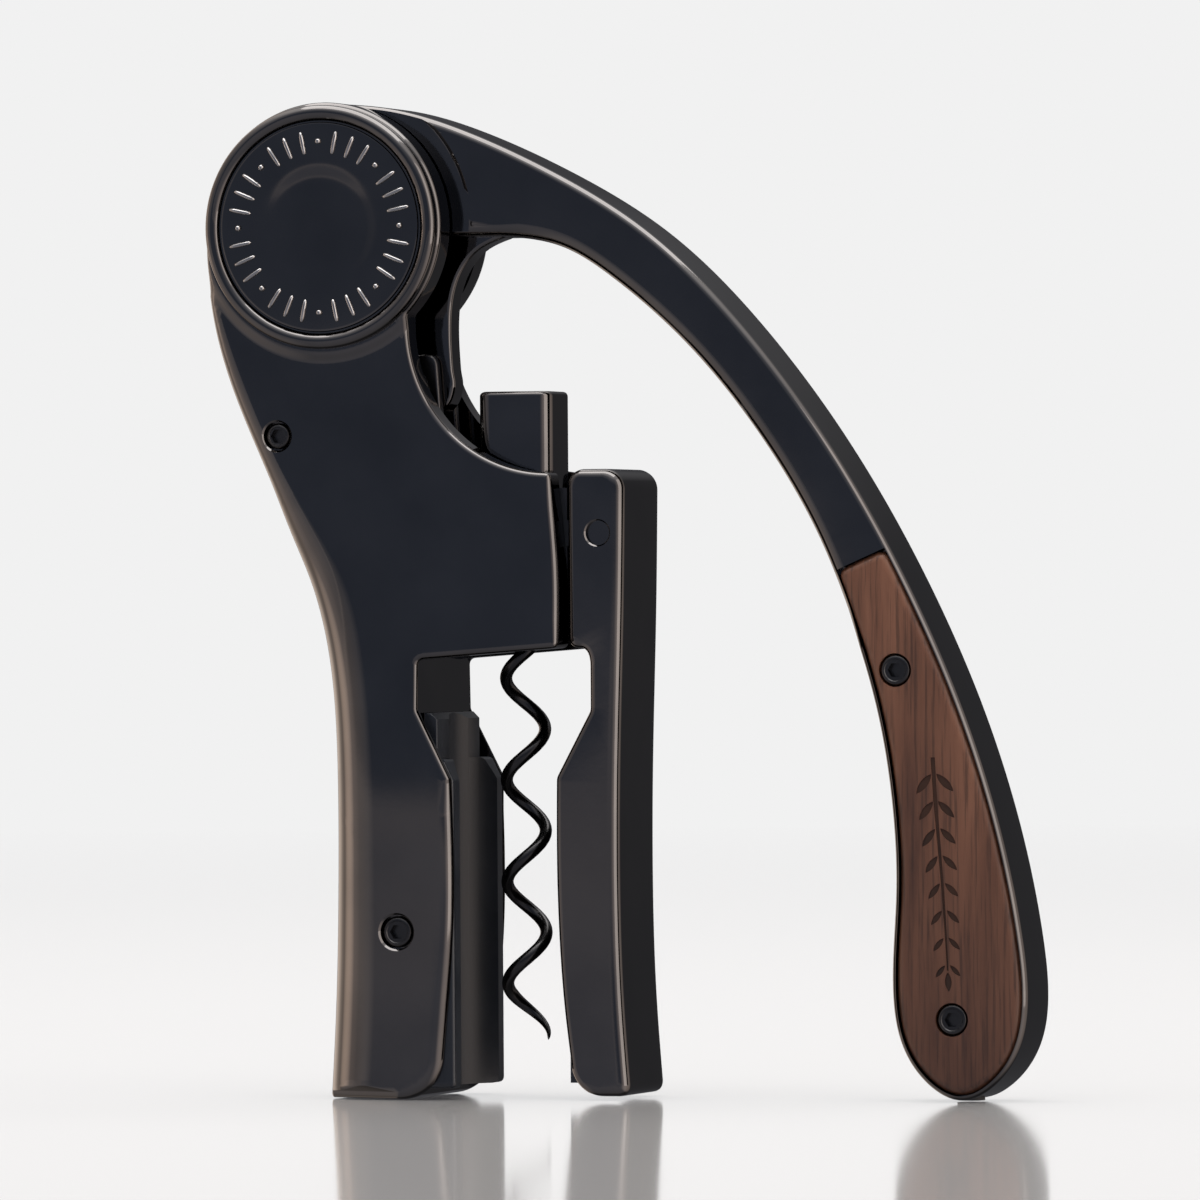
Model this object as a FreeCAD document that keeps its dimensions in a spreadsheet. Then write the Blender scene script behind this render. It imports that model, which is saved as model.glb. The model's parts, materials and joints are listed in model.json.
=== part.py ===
import FreeCAD, Part
import math
import os
import re
import Sketcher

# A lever corkscrew, standing on its left grip, on its clamp and on the foot of its lever.
# X runs from the grip to the lever, Y from the front to the rear, Z up. Millimetres.
# The origin is under the middle of the whole object. Most places are measured along X from
# the axis of the worm, and those of the lever from the axis of the hub.

Vector = FreeCAD.Vector
ALONG_Y = FreeCAD.Rotation(Vector(1, 0, 0), -90)
ALONG_MINUS_Y = FreeCAD.Rotation(Vector(1, 0, 0), 90)

DIMENSIONS = [
    ("worm_axis", -20.3, "X of the worm's axis"),
    ("hub_reach", 34.6, "from the worm's axis back to the hub's axis"),
    ("hub_height", 161.8, "height of the hub's axis"),
    ("hub_radius", 23.2, "round ends of the two shells at the hub"),
    ("cap_radius", 22.8, "hub caps"),
    ("cap_thick", 2.8, "hub caps"),
    ("axle_radius", 3.5, "hub axle between the shells"),
    ("bush_radius", 6.0, "bush in the lever's hub"),
    ("slide_gap", 0.05, "radial play of a shaft in its hole"),
    ("gap_half", 8.4, "half of the space between the shells"),
    ("neck_depth", 13.4, "from the middle plane to the upper shell's face"),
    ("grip_depth", 16.3, "from the middle plane to the lower grip's face"),
    ("window_half", 16.0, "from the worm's axis to the window's sides"),
    ("throat_half", 14.6, "half of the depth of the space for the bottle's neck"),
    ("neck_radius", 14.3, "bottle's neck that the liners close on"),
    ("block_height", 84.0, "underside of the guide block"),
    ("nut_radius", 7.4, "worm nut"),
    ("nut_thick", 4.4, "worm nut"),
    ("nut_bore", 5.1, "worm nut"),
    ("worm_radius", 4.75, "outside of the worm"),
    ("wire_radius", 1.15, "worm's wire"),
    ("worm_pitch", 18.9, "height of one turn"),
    ("worm_tip", 10.6, "height of the worm's point"),
    ("shank_radius", 2.9, "worm's shank"),
    ("head_height", 104.0, "top of the carriage's solid foot, where the worm's head sits"),
    ("carriage_foot", 94.2, "underside of the carriage over the nut"),
    ("post_half", 7.2, "half of the post's width"),
    ("post_depth", 6.9, "half of the post's depth"),
    ("post_top", 131.0, "top of the post"),
    ("cheek_half", 8.1, "outside of the carriage's cheeks"),
    ("slot_half", 5.7, "inside of the carriage's cheeks"),
    ("rib_left", 23.5, "from the worm's axis back to the guide rib's far side"),
    ("rib_width", 3.0, "guide rib"),
    ("rib_proud", 1.1, "guide rib, out of the cheek"),
    ("web_half", 2.9, "half of the lever's thin web"),
    ("root_half", 7.2, "half of the lever's root between the shells"),
    ("root_inside", 13.6, "from the hub's axis to the root's inner side"),
    ("arm_start", 29.4, "from the hub's axis to where the arm has its full thickness"),
    ("web_reach", 32.0, "from the hub's axis to the web's end inside the arm"),
    ("web_disc", 10.5, "thin disc round the bush"),
    ("arm_half", 8.0, "half of the lever's arm"),
    ("core_half", 5.0, "half of the metal core between the walnut scales"),
    ("crank_across", 15.2, "crank pin, from the hub's axis along X"),
    ("crank_down", 29.3, "crank pin, below the hub's axis"),
    ("tail_radius", 6.8, "round end of the lever's tail"),
    ("link_length", 38.0, "between the link's two pins"),
    ("link_half", 4.5, "half of the link's width"),
    ("link_thick", 2.2, "link plate"),
    ("link_inside", 3.2, "from the middle plane to the link's inner face"),
    ("slider_across", 18.0, "carriage pin, from the hub's axis along X"),
    ("slider_pin", 2.2, "radius of the carriage pin"),
    ("crank_pin_radius", 2.5, "radius of the crank pin"),
    ("jaw_pin_x", 18.0, "clamp's hinge, from the worm's axis"),
    ("jaw_pin_z", 104.6, "clamp's hinge"),
    ("jaw_pin_radius", 1.5, "clamp's hinge pin"),
    ("jaw_depth", 11.5, "half of the clamp's depth"),
    ("jaw_wall", 2.5, "clamp's front and rear walls"),
    ("jaw_back", 2.0, "clamp's outer wall"),
    ("block_half", 8.2, "half of the guide block's depth"),
    ("lug_radius", 2.4, "round end of the hinge lug"),
    ("upper_screw_x", 44.0, "upper body screw, back from the worm's axis"),
    ("upper_screw_z", 123.1, "upper body screw"),
    ("lower_screw_x", 20.1, "lower body screw, back from the worm's axis"),
    ("lower_screw_z", 31.0, "lower body screw"),
    ("small_head", 2.4, "radius of the upper body screw's head"),
    ("large_head", 2.9, "radius of the other screws' heads"),
    ("screw_shank", 1.6, "radius of every screw's shank"),
    ("head_thick", 2.4, "screw head"),
    ("head_sunk", 0.5, "body screw's head below the face"),
    ("scale_sunk", 0.1, "handle screw's head below the walnut's face"),
    ("socket_width", 1.45, "corner radius of a screw's hexagon socket"),
    ("boss_radius", 4.0, "screw bosses inside the shells"),
    ("insert_radius", 2.8, "threaded inserts"),
    ("insert_half", 6.0, "half of a body insert's length"),
    ("scale_insert_half", 4.8, "half of a handle insert's length"),
    ("scale_margin", 0.8, "metal rim left around the walnut"),
    ("foot_radius", 2.6, "lever's foot pad"),
    ("foot_thick", 2.4, "lever's foot pad"),
    ("foot_x", 85.8, "lever's foot pad"),
    ("top_scale_screw_x", 74.1, "upper handle screw"),
    ("top_scale_screw_z", 79.0, "upper handle screw"),
    ("low_scale_screw_x", 84.5, "lower handle screw"),
    ("low_scale_screw_z", 15.0, "lower handle screw"),
]

doc = FreeCAD.newDocument("lever_corkscrew")
sheet = doc.addObject("Spreadsheet::Sheet", "Sizes")
for row, (alias, number, meaning) in enumerate(DIMENSIONS, start=1):
    sheet.set("A%d" % row, meaning)
    sheet.set("B%d" % row, "%g" % number)
    sheet.setAlias("B%d" % row, alias)
doc.recompute()

ALIASES = [alias for alias, number, meaning in DIMENSIONS]
sub_parts = []


# ---------------------------------------------------------------- reading and binding sizes

def size(alias):
    return float(sheet.get(alias))


def linked(expression):
    """The expression with every alias turned into a reference to the sheet's cell."""
    return re.sub(r"[a-z][a-z_]*", lambda m: "Sizes." + m.group() if m.group() in ALIASES else m.group(),
                  str(expression))


def bind(obj, **expressions):
    for name, expression in expressions.items():
        obj.setExpression(name, linked(expression))


def put(obj, place, rotation=None):
    """Place an object, each coordinate bound to the sheet."""
    obj.Placement = FreeCAD.Placement(Vector(0, 0, 0), rotation or FreeCAD.Rotation())
    for axis, expression in zip("xyz", place):
        obj.setExpression(".Placement.Base." + axis, linked(expression))
    return obj


def sub_part(obj, label):
    obj.Label = label
    sub_parts.append(obj)
    return obj


# ---------------------------------------------------------------- Part primitives and booleans

def block(name, corner, extent):
    obj = doc.addObject("Part::Box", name)
    bind(obj, Length=extent[0], Width=extent[1], Height=extent[2])
    return put(obj, corner)


def rod(name, place, radius, length, rotation=ALONG_Y):
    obj = doc.addObject("Part::Cylinder", name)
    bind(obj, Radius=radius, Height=length)
    return put(obj, place, rotation)


def hexagon(name, place, corner_radius, length, rotation=ALONG_Y):
    obj = doc.addObject("Part::Prism", name)
    obj.Polygon = 6
    bind(obj, Circumradius=corner_radius, Height=length)
    return put(obj, place, rotation)


def fuse(name, pieces):
    obj = doc.addObject("Part::MultiFuse", name)
    obj.Shapes = pieces
    obj.Refine = True
    return obj


def cut(name, base, tool):
    obj = doc.addObject("Part::Cut", name)
    obj.Base = base
    obj.Tool = tool
    obj.Refine = True
    return obj


def group(name, pieces):
    obj = doc.addObject("Part::Compound", name)
    obj.Links = pieces
    return obj


# ---------------------------------------------------------------- PartDesign bodies

def turned_body(label, profile, place, rotation):
    """A body turned about its own Z axis. The profile's points are (radius, height), from 0 up."""
    body = doc.addObject("PartDesign::Body", label)
    plane = [f for f in body.Origin.OriginFeatures if f.Role == "XZ_Plane"][0]
    sketch = body.newObject("Sketcher::SketchObject", label + "_profile")
    sketch.AttachmentSupport = [(plane, "")]
    sketch.MapMode = "FlatFace"
    count = len(profile)
    start = [Vector(10 + 3 * i, 10 + 5 * (i % 2), 0) for i in range(count)]
    for i in range(count):
        sketch.addGeometry(Part.LineSegment(start[i], start[(i + 1) % count]), False)
    for i in range(count):
        sketch.addConstraint(Sketcher.Constraint("Coincident", i, 2, (i + 1) % count, 1))
    for i, point in enumerate(profile):
        for kind, axis, expression, at_first in zip(("DistanceX", "DistanceY"), (-2, -1), point, start[i]):
            if expression == 0:
                sketch.addConstraint(Sketcher.Constraint("PointOnObject", i, 1, axis))
            else:
                index = sketch.addConstraint(Sketcher.Constraint(kind, -1, 1, i, 1, at_first))
                sketch.setExpression("Constraints[%d]" % index, linked(expression))
    turn = body.newObject("PartDesign::Revolution", label + "_turned")
    turn.Profile = sketch
    turn.ReferenceAxis = (sketch, ["V_Axis"])
    turn.Angle = 360
    put(body, place, rotation)
    return body


# ---------------------------------------------------------------- outlines for freeform pieces

def corner(x, z):
    return Vector(x, 0, z)


def line(*points):
    """Straight edges from point to point."""
    return [Part.makeLine(corner(*a), corner(*b)) for a, b in zip(points, points[1:])]


def curve(*points):
    """One smooth edge through the points."""
    spline = Part.BSplineCurve()
    spline.interpolate([corner(*p) for p in points])
    return [spline.toShape()]


def arc(start, middle, end):
    return [Part.Arc(corner(*start), corner(*middle), corner(*end)).toShape()]


def plate(edges, near, far):
    """The outline, drawn in the XZ plane, made solid from Y = near to Y = far."""
    face = Part.Face(Part.Wire(edges))
    solid = face.extrude(Vector(0, far - near, 0))
    solid.translate(Vector(0, near, 0))
    return solid


def cylinder_y(centre, radius, near, far):
    return Part.makeCylinder(radius, far - near, Vector(centre[0], near, centre[1]), Vector(0, 1, 0))


def cuboid(x, y, z):
    return Part.makeBox(x[1] - x[0], y[1] - y[0], z[1] - z[0], Vector(x[0], y[0], z[0]))


def freeform(label, solid):
    """A finished shape, made in code from the sheet's sizes, in its place over the worm's axis."""
    obj = doc.addObject("Part::Feature", label)
    obj.Shape = solid
    obj.Placement = FreeCAD.Placement(Vector(size("worm_axis"), 0, 0), FreeCAD.Rotation())
    return sub_part(obj, label)


def mirrored(solid):
    return solid.mirror(Vector(0, 0, 0), Vector(0, 1, 0))


HUB = (-size("hub_reach"), size("hub_height"))

# A cutting tool reaches this far past the middle plane, and joined pieces share this much.
CLEAR = 20.0
OVERLAP = 0.4


# ---------------------------------------------------------------- the two shells

# The shell's left side at each height: height, X of the side, depth of the face, and how far
# the round edge between them reaches along X and along Y.
SIDE = [
    (0.0, -36.4, 16.3, 11.0, 12.0),
    (18.0, -35.4, 16.3, 11.0, 12.0),
    (40.0, -34.7, 16.3, 10.5, 11.5),
    (63.0, -34.6, 16.3, 10.0, 11.0),
    (80.0, -35.7, 15.7, 9.5, 10.0),
    (97.0, -39.8, 14.6, 7.5, 7.5),
    (114.0, -46.4, 13.7, 5.5, 5.5),
    (131.0, -53.5, 13.4, 4.5, 4.5),
    (148.0, -57.6, 13.4, 4.0, 4.0),
    (162.0, -57.8, 13.4, 4.0, 4.0),
]
BEYOND = 25.0


def side_section(height, left, depth, across, deep):
    """One level cut through the front shell's skin, closed on the middle plane."""
    round_edge = Part.BSplineCurve()
    points = []
    for degrees in (0, 22.5, 45, 67.5, 90):
        angle = math.radians(degrees)
        points.append(Vector(left + across * (1 - math.cos(angle)), -(depth - deep) - deep * math.sin(angle),
                             height))
    round_edge.interpolate(points)
    corners = [Vector(BEYOND, -depth, height), Vector(BEYOND, 0, height), Vector(left, 0, height)]
    edges = [round_edge.toShape(), Part.makeLine(points[-1], corners[0])]
    edges.append(Part.makeLine(corners[0], corners[1]))
    edges.append(Part.makeLine(corners[1], corners[2]))
    edges.append(Part.makeLine(corners[2], points[0]))
    return Part.Wire(edges)


def shell_outline():
    """The shell seen from the front, with room to spare on its left, where the skin ends it."""
    edges = line((-70, 0), (-20.5, 0))
    edges += arc((-20.5, 0), (-14.2, 2.0), (-11.4, 8.0))
    edges += curve((-11.4, 8.0), (-10.5, 18.0), (-9.5, 30.0), (-9.2, 42.0), (-9.6, 59.3))
    edges += line((-9.6, 59.3), (-16.0, 72.0), (-16.0, 81.4), (11.3, 83.4), (11.3, 97.0), (9.5, 115.9))
    edges += arc((9.5, 115.9), (-10.4, 124.1), (-18.2, 142.6))
    edges += line((-18.2, 142.6), (-18.2, 162.0), (-70, 162.0), (-70, 0))
    return edges


def inside_of_shells():
    """The space for the mechanism, as wide as the gap, and the hollow of the grip under it."""
    gap = size("gap_half")
    edges = line((-18.6, 8), (-18.6, 83.8), (-16.0, 83.8), (-16.0, 76), (30, 76), (30, 200), (-70, 200),
                 (-70, 138), (-50.3, 138), (-50.3, 131), (-43.3, 114), (-36.8, 97), (-32.6, 80),
                 (-31.6, 63), (-31.6, 8), (-18.6, 8))
    return plate(edges, -gap, gap)


def front_shell():
    solid = Part.makeLoft([side_section(*level) for level in SIDE], True, False)
    solid = solid.common(plate(shell_outline(), -40, 1))
    hub_disc = cylinder_y(HUB, size("hub_radius"), -size("neck_depth"), -size("gap_half"))
    solid = solid.fuse(hub_disc)
    solid = solid.cut(inside_of_shells())
    throat = size("throat_half")
    solid = solid.cut(cuboid((-size("window_half"), 40), (-throat, 10), (-1, 70)))
    solid = solid.cut(plate(line((-16, 69), (20, 69), (20, 83.9), (-16, 81.4), (-16, 69)), -throat, 10))
    lower = (-size("lower_screw_x"), size("lower_screw_z"))
    upper = (-size("upper_screw_x"), size("upper_screw_z"))
    solid = solid.fuse(cylinder_y(lower, size("boss_radius"), -12, 0))
    solid = solid.fuse(cylinder_y(upper, size("boss_radius"), -12, 0))
    play = size("slide_gap")
    solid = solid.cut(cylinder_y(HUB, size("axle_radius") + play, -CLEAR, 0))
    for place, head, depth in ((upper, "small_head", "neck_depth"), (lower, "large_head", "grip_depth")):
        solid = solid.cut(cylinder_y(place, size("screw_shank") + play, -CLEAR, 1))
        solid = solid.cut(cylinder_y(place, size("insert_radius") + play, -size("insert_half"), 1))
        seat = size("head_thick") + size("head_sunk")
        solid = solid.cut(cylinder_y(place, size(head) + 0.3, -CLEAR, -size(depth) + seat))
    left = -size("rib_left") - 0.3
    right = left + size("rib_width") + 0.6
    groove_floor = size("cheek_half") + size("rib_proud") + 0.3
    solid = solid.cut(cuboid((left, right), (-groove_floor, 0), (86, 178.5)))
    return solid.removeSplitter()


# ---------------------------------------------------------------- the lever

def from_hub(x, z):
    return (HUB[0] + x, HUB[1] + z)


CRANK = from_hub(size("crank_across"), -size("crank_down"))


# The lever's edges, from the hub's axis: its top side from the hub down, its foot from right to
# left, and its underside from the foot up.
ARM_TOP = [(0, 23.2), (10.5, 22.2), (25.5, 17.8), (42.0, 10.3), (60.6, -1.0), (78.4, -17.9), (95.6, -40.3),
           (111.6, -68.0), (121.4, -90.2), (128.4, -112.2), (132.4, -132.0), (133.3, -142.0)]
ARM_FOOT = [(133.3, -142.0), (132.2, -150.6), (127.4, -158.3), (120.4, -161.6), (113.8, -158.3),
            (109.0, -150.7), (107.6, -142.0)]
ARM_UNDERSIDE = [(107.6, -142.0), (108.3, -124.0), (107.6, -106.7), (104.9, -90.2), (100.0, -73.7),
                 (93.2, -57.1), (83.2, -40.4), (69.6, -23.6), (53.8, -9.8), (43.6, -3.9), (32.5, -2.0)]


def tail_outline():
    """The tail's right edge, its lower end round the crank pin, and its left edge up to the hub."""
    points = [(32.5, -2.0), (26.6, -4.6), (22.8, -9.6), (21.3, -17.0), (21.6, -26.5)]
    right = curve(*[from_hub(*p) for p in points])
    rest = [(21.6, -26.5), (15.2, -29.3), (9.3, -32.7), (-9.0, -5.4), (0, 0), (32.5, -2.0)]
    return right + line(*[from_hub(*p) for p in rest])


def lever_outline():
    """The whole arm, from the top of the hub round the foot and back to the hub's underside."""
    rest = [(32.5, -2.0), (0, -2.0), (0, 23.2)]
    edges = []
    for points in (ARM_TOP, ARM_FOOT, ARM_UNDERSIDE):
        edges += curve(*[from_hub(*p) for p in points])
    return edges + line(*[from_hub(*p) for p in rest])


HANDLE_END = [(50, 92.35), (90, 109.65), (120, 109.65), (120, -20), (50, -20), (50, 92.35)]
SCALE_SCREWS = [(size("top_scale_screw_x"), size("top_scale_screw_z")),
                (size("low_scale_screw_x"), size("low_scale_screw_z"))]


def handle_plate(margin, near, far):
    """The lever's lower end, inside its outline by the margin, from Y = near to Y = far."""
    points = ARM_TOP[5:] + ARM_FOOT[1:-1] + ARM_UNDERSIDE[:7]
    edge = Part.BSplineCurve()
    edge.interpolate([corner(*from_hub(*p)) for p in points])
    inner = []
    for point in points:
        at = corner(*from_hub(*point))
        along = edge.tangent(edge.parameter(at))[0]
        inner.append((at.x + margin * along.z, at.z - margin * along.x))
    solid = plate(curve(*inner) + line(inner[-1], inner[0]), near, far)
    return solid.common(plate(line(*HANDLE_END), near - 1, far + 1))


def lever_arm():
    full = size("arm_half")
    web = size("web_half")
    arm = plate(lever_outline(), -full, full).cut(cylinder_y(HUB, size("arm_start"), -CLEAR, CLEAR))
    root = plate(lever_outline(), -size("root_half"), size("root_half"))
    root = root.common(cylinder_y(HUB, size("arm_start") + OVERLAP, -CLEAR, CLEAR))
    root = root.cut(cylinder_y(HUB, size("root_inside"), -CLEAR, CLEAR))
    thin = plate(lever_outline(), -web, web).common(cylinder_y(HUB, size("web_reach"), -CLEAR, CLEAR))
    fan = line(from_hub(0, 0), from_hub(2, 40), from_hub(-20, 40), from_hub(-40, 30), from_hub(0, 0))
    disc_part = cylinder_y(HUB, size("cap_radius"), -web, web).common(plate(fan, -web, web))
    tail = plate(tail_outline(), -web, web)
    hub_disc = cylinder_y(HUB, size("web_disc"), -web, web)
    tail_disc = cylinder_y(CRANK, size("tail_radius"), -web, web)
    solid = arm.multiFuse([root, thin, disc_part, tail, hub_disc, tail_disc])
    play = size("slide_gap")
    solid = solid.cut(cylinder_y(HUB, size("bush_radius"), -CLEAR, CLEAR))
    solid = solid.cut(cylinder_y(CRANK, size("crank_pin_radius"), -CLEAR, CLEAR))
    core = size("core_half")
    for near, far in ((-CLEAR, -core), (core, CLEAR)):
        solid = solid.cut(handle_plate(size("scale_margin"), near, far))
    for screw in SCALE_SCREWS:
        solid = solid.cut(cylinder_y(screw, size("insert_radius") + play, -CLEAR, CLEAR))
    foot = Part.makeCylinder(size("foot_radius"), 3 * size("foot_thick"),
                             Vector(size("foot_x"), 0, -2 * size("foot_thick")))
    return solid.cut(foot).removeSplitter()


def front_scale():
    face = size("arm_half")
    solid = handle_plate(size("scale_margin") + size("slide_gap"), -face, -size("core_half"))
    for screw in SCALE_SCREWS:
        solid = solid.cut(cylinder_y(screw, size("screw_shank") + size("slide_gap"), -CLEAR, 0))
        seat = size("head_thick") + size("scale_sunk")
        solid = solid.cut(cylinder_y(screw, size("large_head") + 0.2, -CLEAR, -face + seat))
    return solid


# ---------------------------------------------------------------- the clamp and the neck liners

def clamp_jaw():
    """A channel, open towards the bottle, closed at its top."""
    outer = line((12.1, 83.4), (12.1, 113.2)) + arc((12.1, 113.2), (12.9, 115.4), (15.0, 116.4))
    outer += line((15.0, 116.4), (19.2, 116.4)) + arc((19.2, 116.4), (21.8, 115.3), (22.9, 112.6))
    outer += curve((22.9, 112.6), (22.5, 90.0), (21.7, 62.4), (21.5, 40.0), (22.1, 18.0), (23.2, 2.6))
    outer += line((23.2, 2.6), (23.2, 0.6), (18.2, 0.6)) + arc((18.2, 0.6), (13.9, 2.3), (12.0, 6.6))
    outer += curve((12.0, 6.6), (10.8, 16.5), (9.8, 30.4), (9.4, 44.2), (9.5, 59.4))
    outer += line((9.5, 59.4), (16.2, 71.8), (16.2, 83.4), (12.1, 83.4))
    depth = size("jaw_depth")
    solid = plate(outer, -depth, depth)
    back = size("jaw_back")
    inner = line((0, -5), (0, 114.0), (20.6, 114.0))
    inner += curve((20.6, 114.0), (22.5 - back, 90.0), (21.7 - back, 62.4), (21.5 - back, 40.0),
                   (22.1 - back, 18.0), (23.2 - back, -5.0))
    inner += line((23.2 - back, -5.0), (0, -5))
    half = depth - size("jaw_wall")
    solid = solid.cut(plate(inner, -half, half))
    solid = solid.cut(Part.makeCylinder(size("neck_radius") + 0.2, 72, Vector(0, 0, -2)))
    pin = (size("jaw_pin_x"), size("jaw_pin_z"))
    solid = solid.cut(cylinder_y(pin, size("jaw_pin_radius") + size("slide_gap"), -CLEAR, CLEAR))
    for near, far in ((-CLEAR, -depth + 1.0), (depth - 1.0, CLEAR)):
        solid = solid.cut(cylinder_y(pin, 2.3, near, far))
    return solid.removeSplitter()


def hollowed(solid):
    """A liner, cut to the bottle's neck."""
    return solid.cut(Part.makeCylinder(size("neck_radius"), 100, Vector(0, 0, -2)))


def left_liner():
    half = size("throat_half") - 0.2
    low = cuboid((-15.9, -9.4), (-half, half), (2.0, 63.0))
    slope = line((-15.9, 1), (-15.9, 72), (-12, 64.0), (-9.4, 59.0), (-9.4, 1), (-15.9, 1))
    step = cuboid((-15.9, -13.4), (-12.2, 12.2), (62.0, 71.5))
    return hollowed(low.fuse(step).common(plate(slope, -CLEAR, CLEAR))).removeSplitter()


def clamp_liner():
    half = size("jaw_depth") - size("jaw_wall") - 0.2
    return hollowed(cuboid((10.5, 19.2), (-half, half), (3.0, 60.0)))


# ---------------------------------------------------------------- the worm

# The wire's middle faces this many degrees from +X at this height.
WIRE_DIRECTION = 18.3
WIRE_HEIGHT = 68.3
POINT_HEIGHT = 2.4
POINT_LENGTH = 3.8
POINT_RADIUS = 0.15
SHOULDER_HEIGHT = 3.0


def worm():
    """A right-handed helix of round wire with a short point, on a straight shank."""
    pitch = size("worm_pitch")
    wire = size("wire_radius")
    radius = size("worm_radius") - wire
    start = size("worm_tip") + POINT_HEIGHT
    top = size("block_height") + 7.5
    helix = Part.makeHelix(pitch, top - start, radius)
    ring = Part.Wire(Part.makeCircle(wire, Vector(radius, 0, 0), Vector(0, radius, pitch / (2 * math.pi))))
    coil = Part.Wire(helix).makePipeShell([ring], True, True)
    point = Part.makeCone(wire, POINT_RADIUS, POINT_LENGTH, Vector(radius, 0, 0),
                          Vector(0, -radius, -pitch / (2 * math.pi)))
    solid = coil.fuse(point)
    turn = WIRE_DIRECTION + 360 * (start - WIRE_HEIGHT) / pitch
    solid.translate(Vector(0, 0, start))
    solid.rotate(Vector(0, 0, 0), Vector(0, 0, 1), turn)
    shoulder = Part.makeCylinder(size("worm_radius") + 0.1, SHOULDER_HEIGHT, Vector(0, 0, top - 2))
    shank = Part.makeCylinder(size("shank_radius"), size("head_height") + 2.8 - top, Vector(0, 0, top))
    return solid.fuse(shoulder.fuse(shank))


# ---------------------------------------------------------------- pieces of plain primitives

BACK_TO_HUB = "worm_axis - hub_reach"
SLIDER_X = "worm_axis - hub_reach + slider_across"
SLIDER_Z = "hub_height - crank_down - sqrt(link_length ^ 2 - (slider_across - crank_across) ^ 2)"
LINK_LEAN = "asin((slider_across - crank_across) / link_length)"


def guide_block():
    """Fixed between the shells: it roofs the bottle's space, holds the nut and carries the clamp."""
    half = "block_half"
    roof = block("roof", ("worm_axis - 16.8", "-" + half, "block_height"), (27.9, "2 * block_half", 3))
    boss = block("boss", ("worm_axis - 9.1", "-" + half, "block_height + 3"), (17, "2 * block_half", 5.8))
    wall = block("wall", ("worm_axis + 7.7", "-" + half, "block_height"), (3.4, "2 * block_half", 29))
    arm = block("lug_arm", ("worm_axis + 11", "-" + half, "jaw_pin_z - lug_radius"),
                ("jaw_pin_x - 11", "2 * block_half", "2 * lug_radius"))
    end = rod("lug_end", ("worm_axis + jaw_pin_x", "-" + half, "jaw_pin_z"), "lug_radius", "2 * block_half")
    nut_seat = rod("nut_seat", ("worm_axis", 0, "block_height + 3"), "nut_radius + slide_gap", 20,
                   FreeCAD.Rotation())
    way = rod("worm_way", ("worm_axis", 0, "block_height - 1"), "worm_radius + 0.85", 20, FreeCAD.Rotation())
    pin = rod("lug_hole", ("worm_axis + jaw_pin_x", -20, "jaw_pin_z"), "jaw_pin_radius + slide_gap", 40)
    solid = fuse("guide_block_solid", [roof, boss, wall, arm, end])
    return sub_part(cut("guide_block", solid, fuse("guide_block_holes", [nut_seat, way, pin])), "guide_block")


def carriage():
    """A yoke round the links' lower ends, its foot over the nut, and the post, open to the hub."""
    cheek = "cheek_half"
    foot_top = "head_height"
    left = block("cheek_left", ("worm_axis - 24", "-" + cheek, 88), (5, "2 * cheek_half", 24))
    middle = block("cheek_middle", ("worm_axis - 19", "-" + cheek, 88), (9.7, "2 * cheek_half", 16))
    joint = block("cheek_joint", ("worm_axis - 9.3", "-" + cheek, "carriage_foot"),
                  (2.2, "2 * cheek_half", "head_height - carriage_foot"))
    foot = block("foot", ("worm_axis - 9.3", "-post_depth", "carriage_foot"),
                 ("post_half + 9.3", "2 * post_depth", "head_height - carriage_foot"))
    post = block("post", ("worm_axis - post_half", "-post_depth", foot_top),
                 ("2 * post_half", "2 * post_depth", "post_top - head_height"))
    ribs = block("ribs", ("worm_axis - rib_left", "-cheek_half - rib_proud", 88),
                 ("rib_width", "2 * (cheek_half + rib_proud)", 24))
    yoke_slot = block("yoke_slot", ("worm_axis - 30", "-slot_half", 89.7), (20.7, "2 * slot_half", 30))
    step_slot = block("step_slot", ("worm_axis - 9.4", "-slot_half", 98), (2.4, "2 * slot_half", 20))
    post_slot = block("post_slot", ("worm_axis - 10", "-slot_half", foot_top), (15.5, "2 * slot_half", 40))
    bore = rod("worm_bore", ("worm_axis", 0, 90), "shank_radius + slide_gap", 30, FreeCAD.Rotation())
    pin = rod("slider_hole", (SLIDER_X, -20, SLIDER_Z), "slider_pin", 40)
    solid = fuse("carriage_solid", [left, middle, joint, foot, post, ribs])
    holes = fuse("carriage_holes", [yoke_slot, step_slot, post_slot, bore, pin])
    return sub_part(cut("carriage", solid, holes), "carriage")


def link(label, near):
    """A flat bar, round at its lower end, square with round corners at its upper end."""
    far_end = "link_length + 3"
    low = rod(label + "_low", (0, 0, 0), "link_half", "link_thick")
    bar = block(label + "_bar", ("-link_half", 0, 0), ("2 * link_half", "link_thick", far_end))
    tip = block(label + "_tip", ("2.5 - link_half", 0, far_end), ("2 * (link_half - 2.5)", "link_thick", 2.5))
    left = rod(label + "_left", ("2.5 - link_half", 0, far_end), 2.5, "link_thick")
    right = rod(label + "_right", ("link_half - 2.5", 0, far_end), 2.5, "link_thick")
    pin = rod(label + "_pin_hole", (0, -1, 0), "slider_pin + slide_gap", 10)
    crank = rod(label + "_crank_hole", (0, -1, "link_length"), "crank_pin_radius", 10)
    solid = fuse(label + "_solid", [low, bar, tip, left, right])
    plate_link = cut(label, solid, fuse(label + "_holes", [pin, crank]))
    put(plate_link, (SLIDER_X, near, SLIDER_Z), FreeCAD.Rotation(Vector(0, -1, 0), 1))
    plate_link.setExpression(".Placement.Rotation.Angle", linked(LINK_LEAN))
    return sub_part(plate_link, label)


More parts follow.
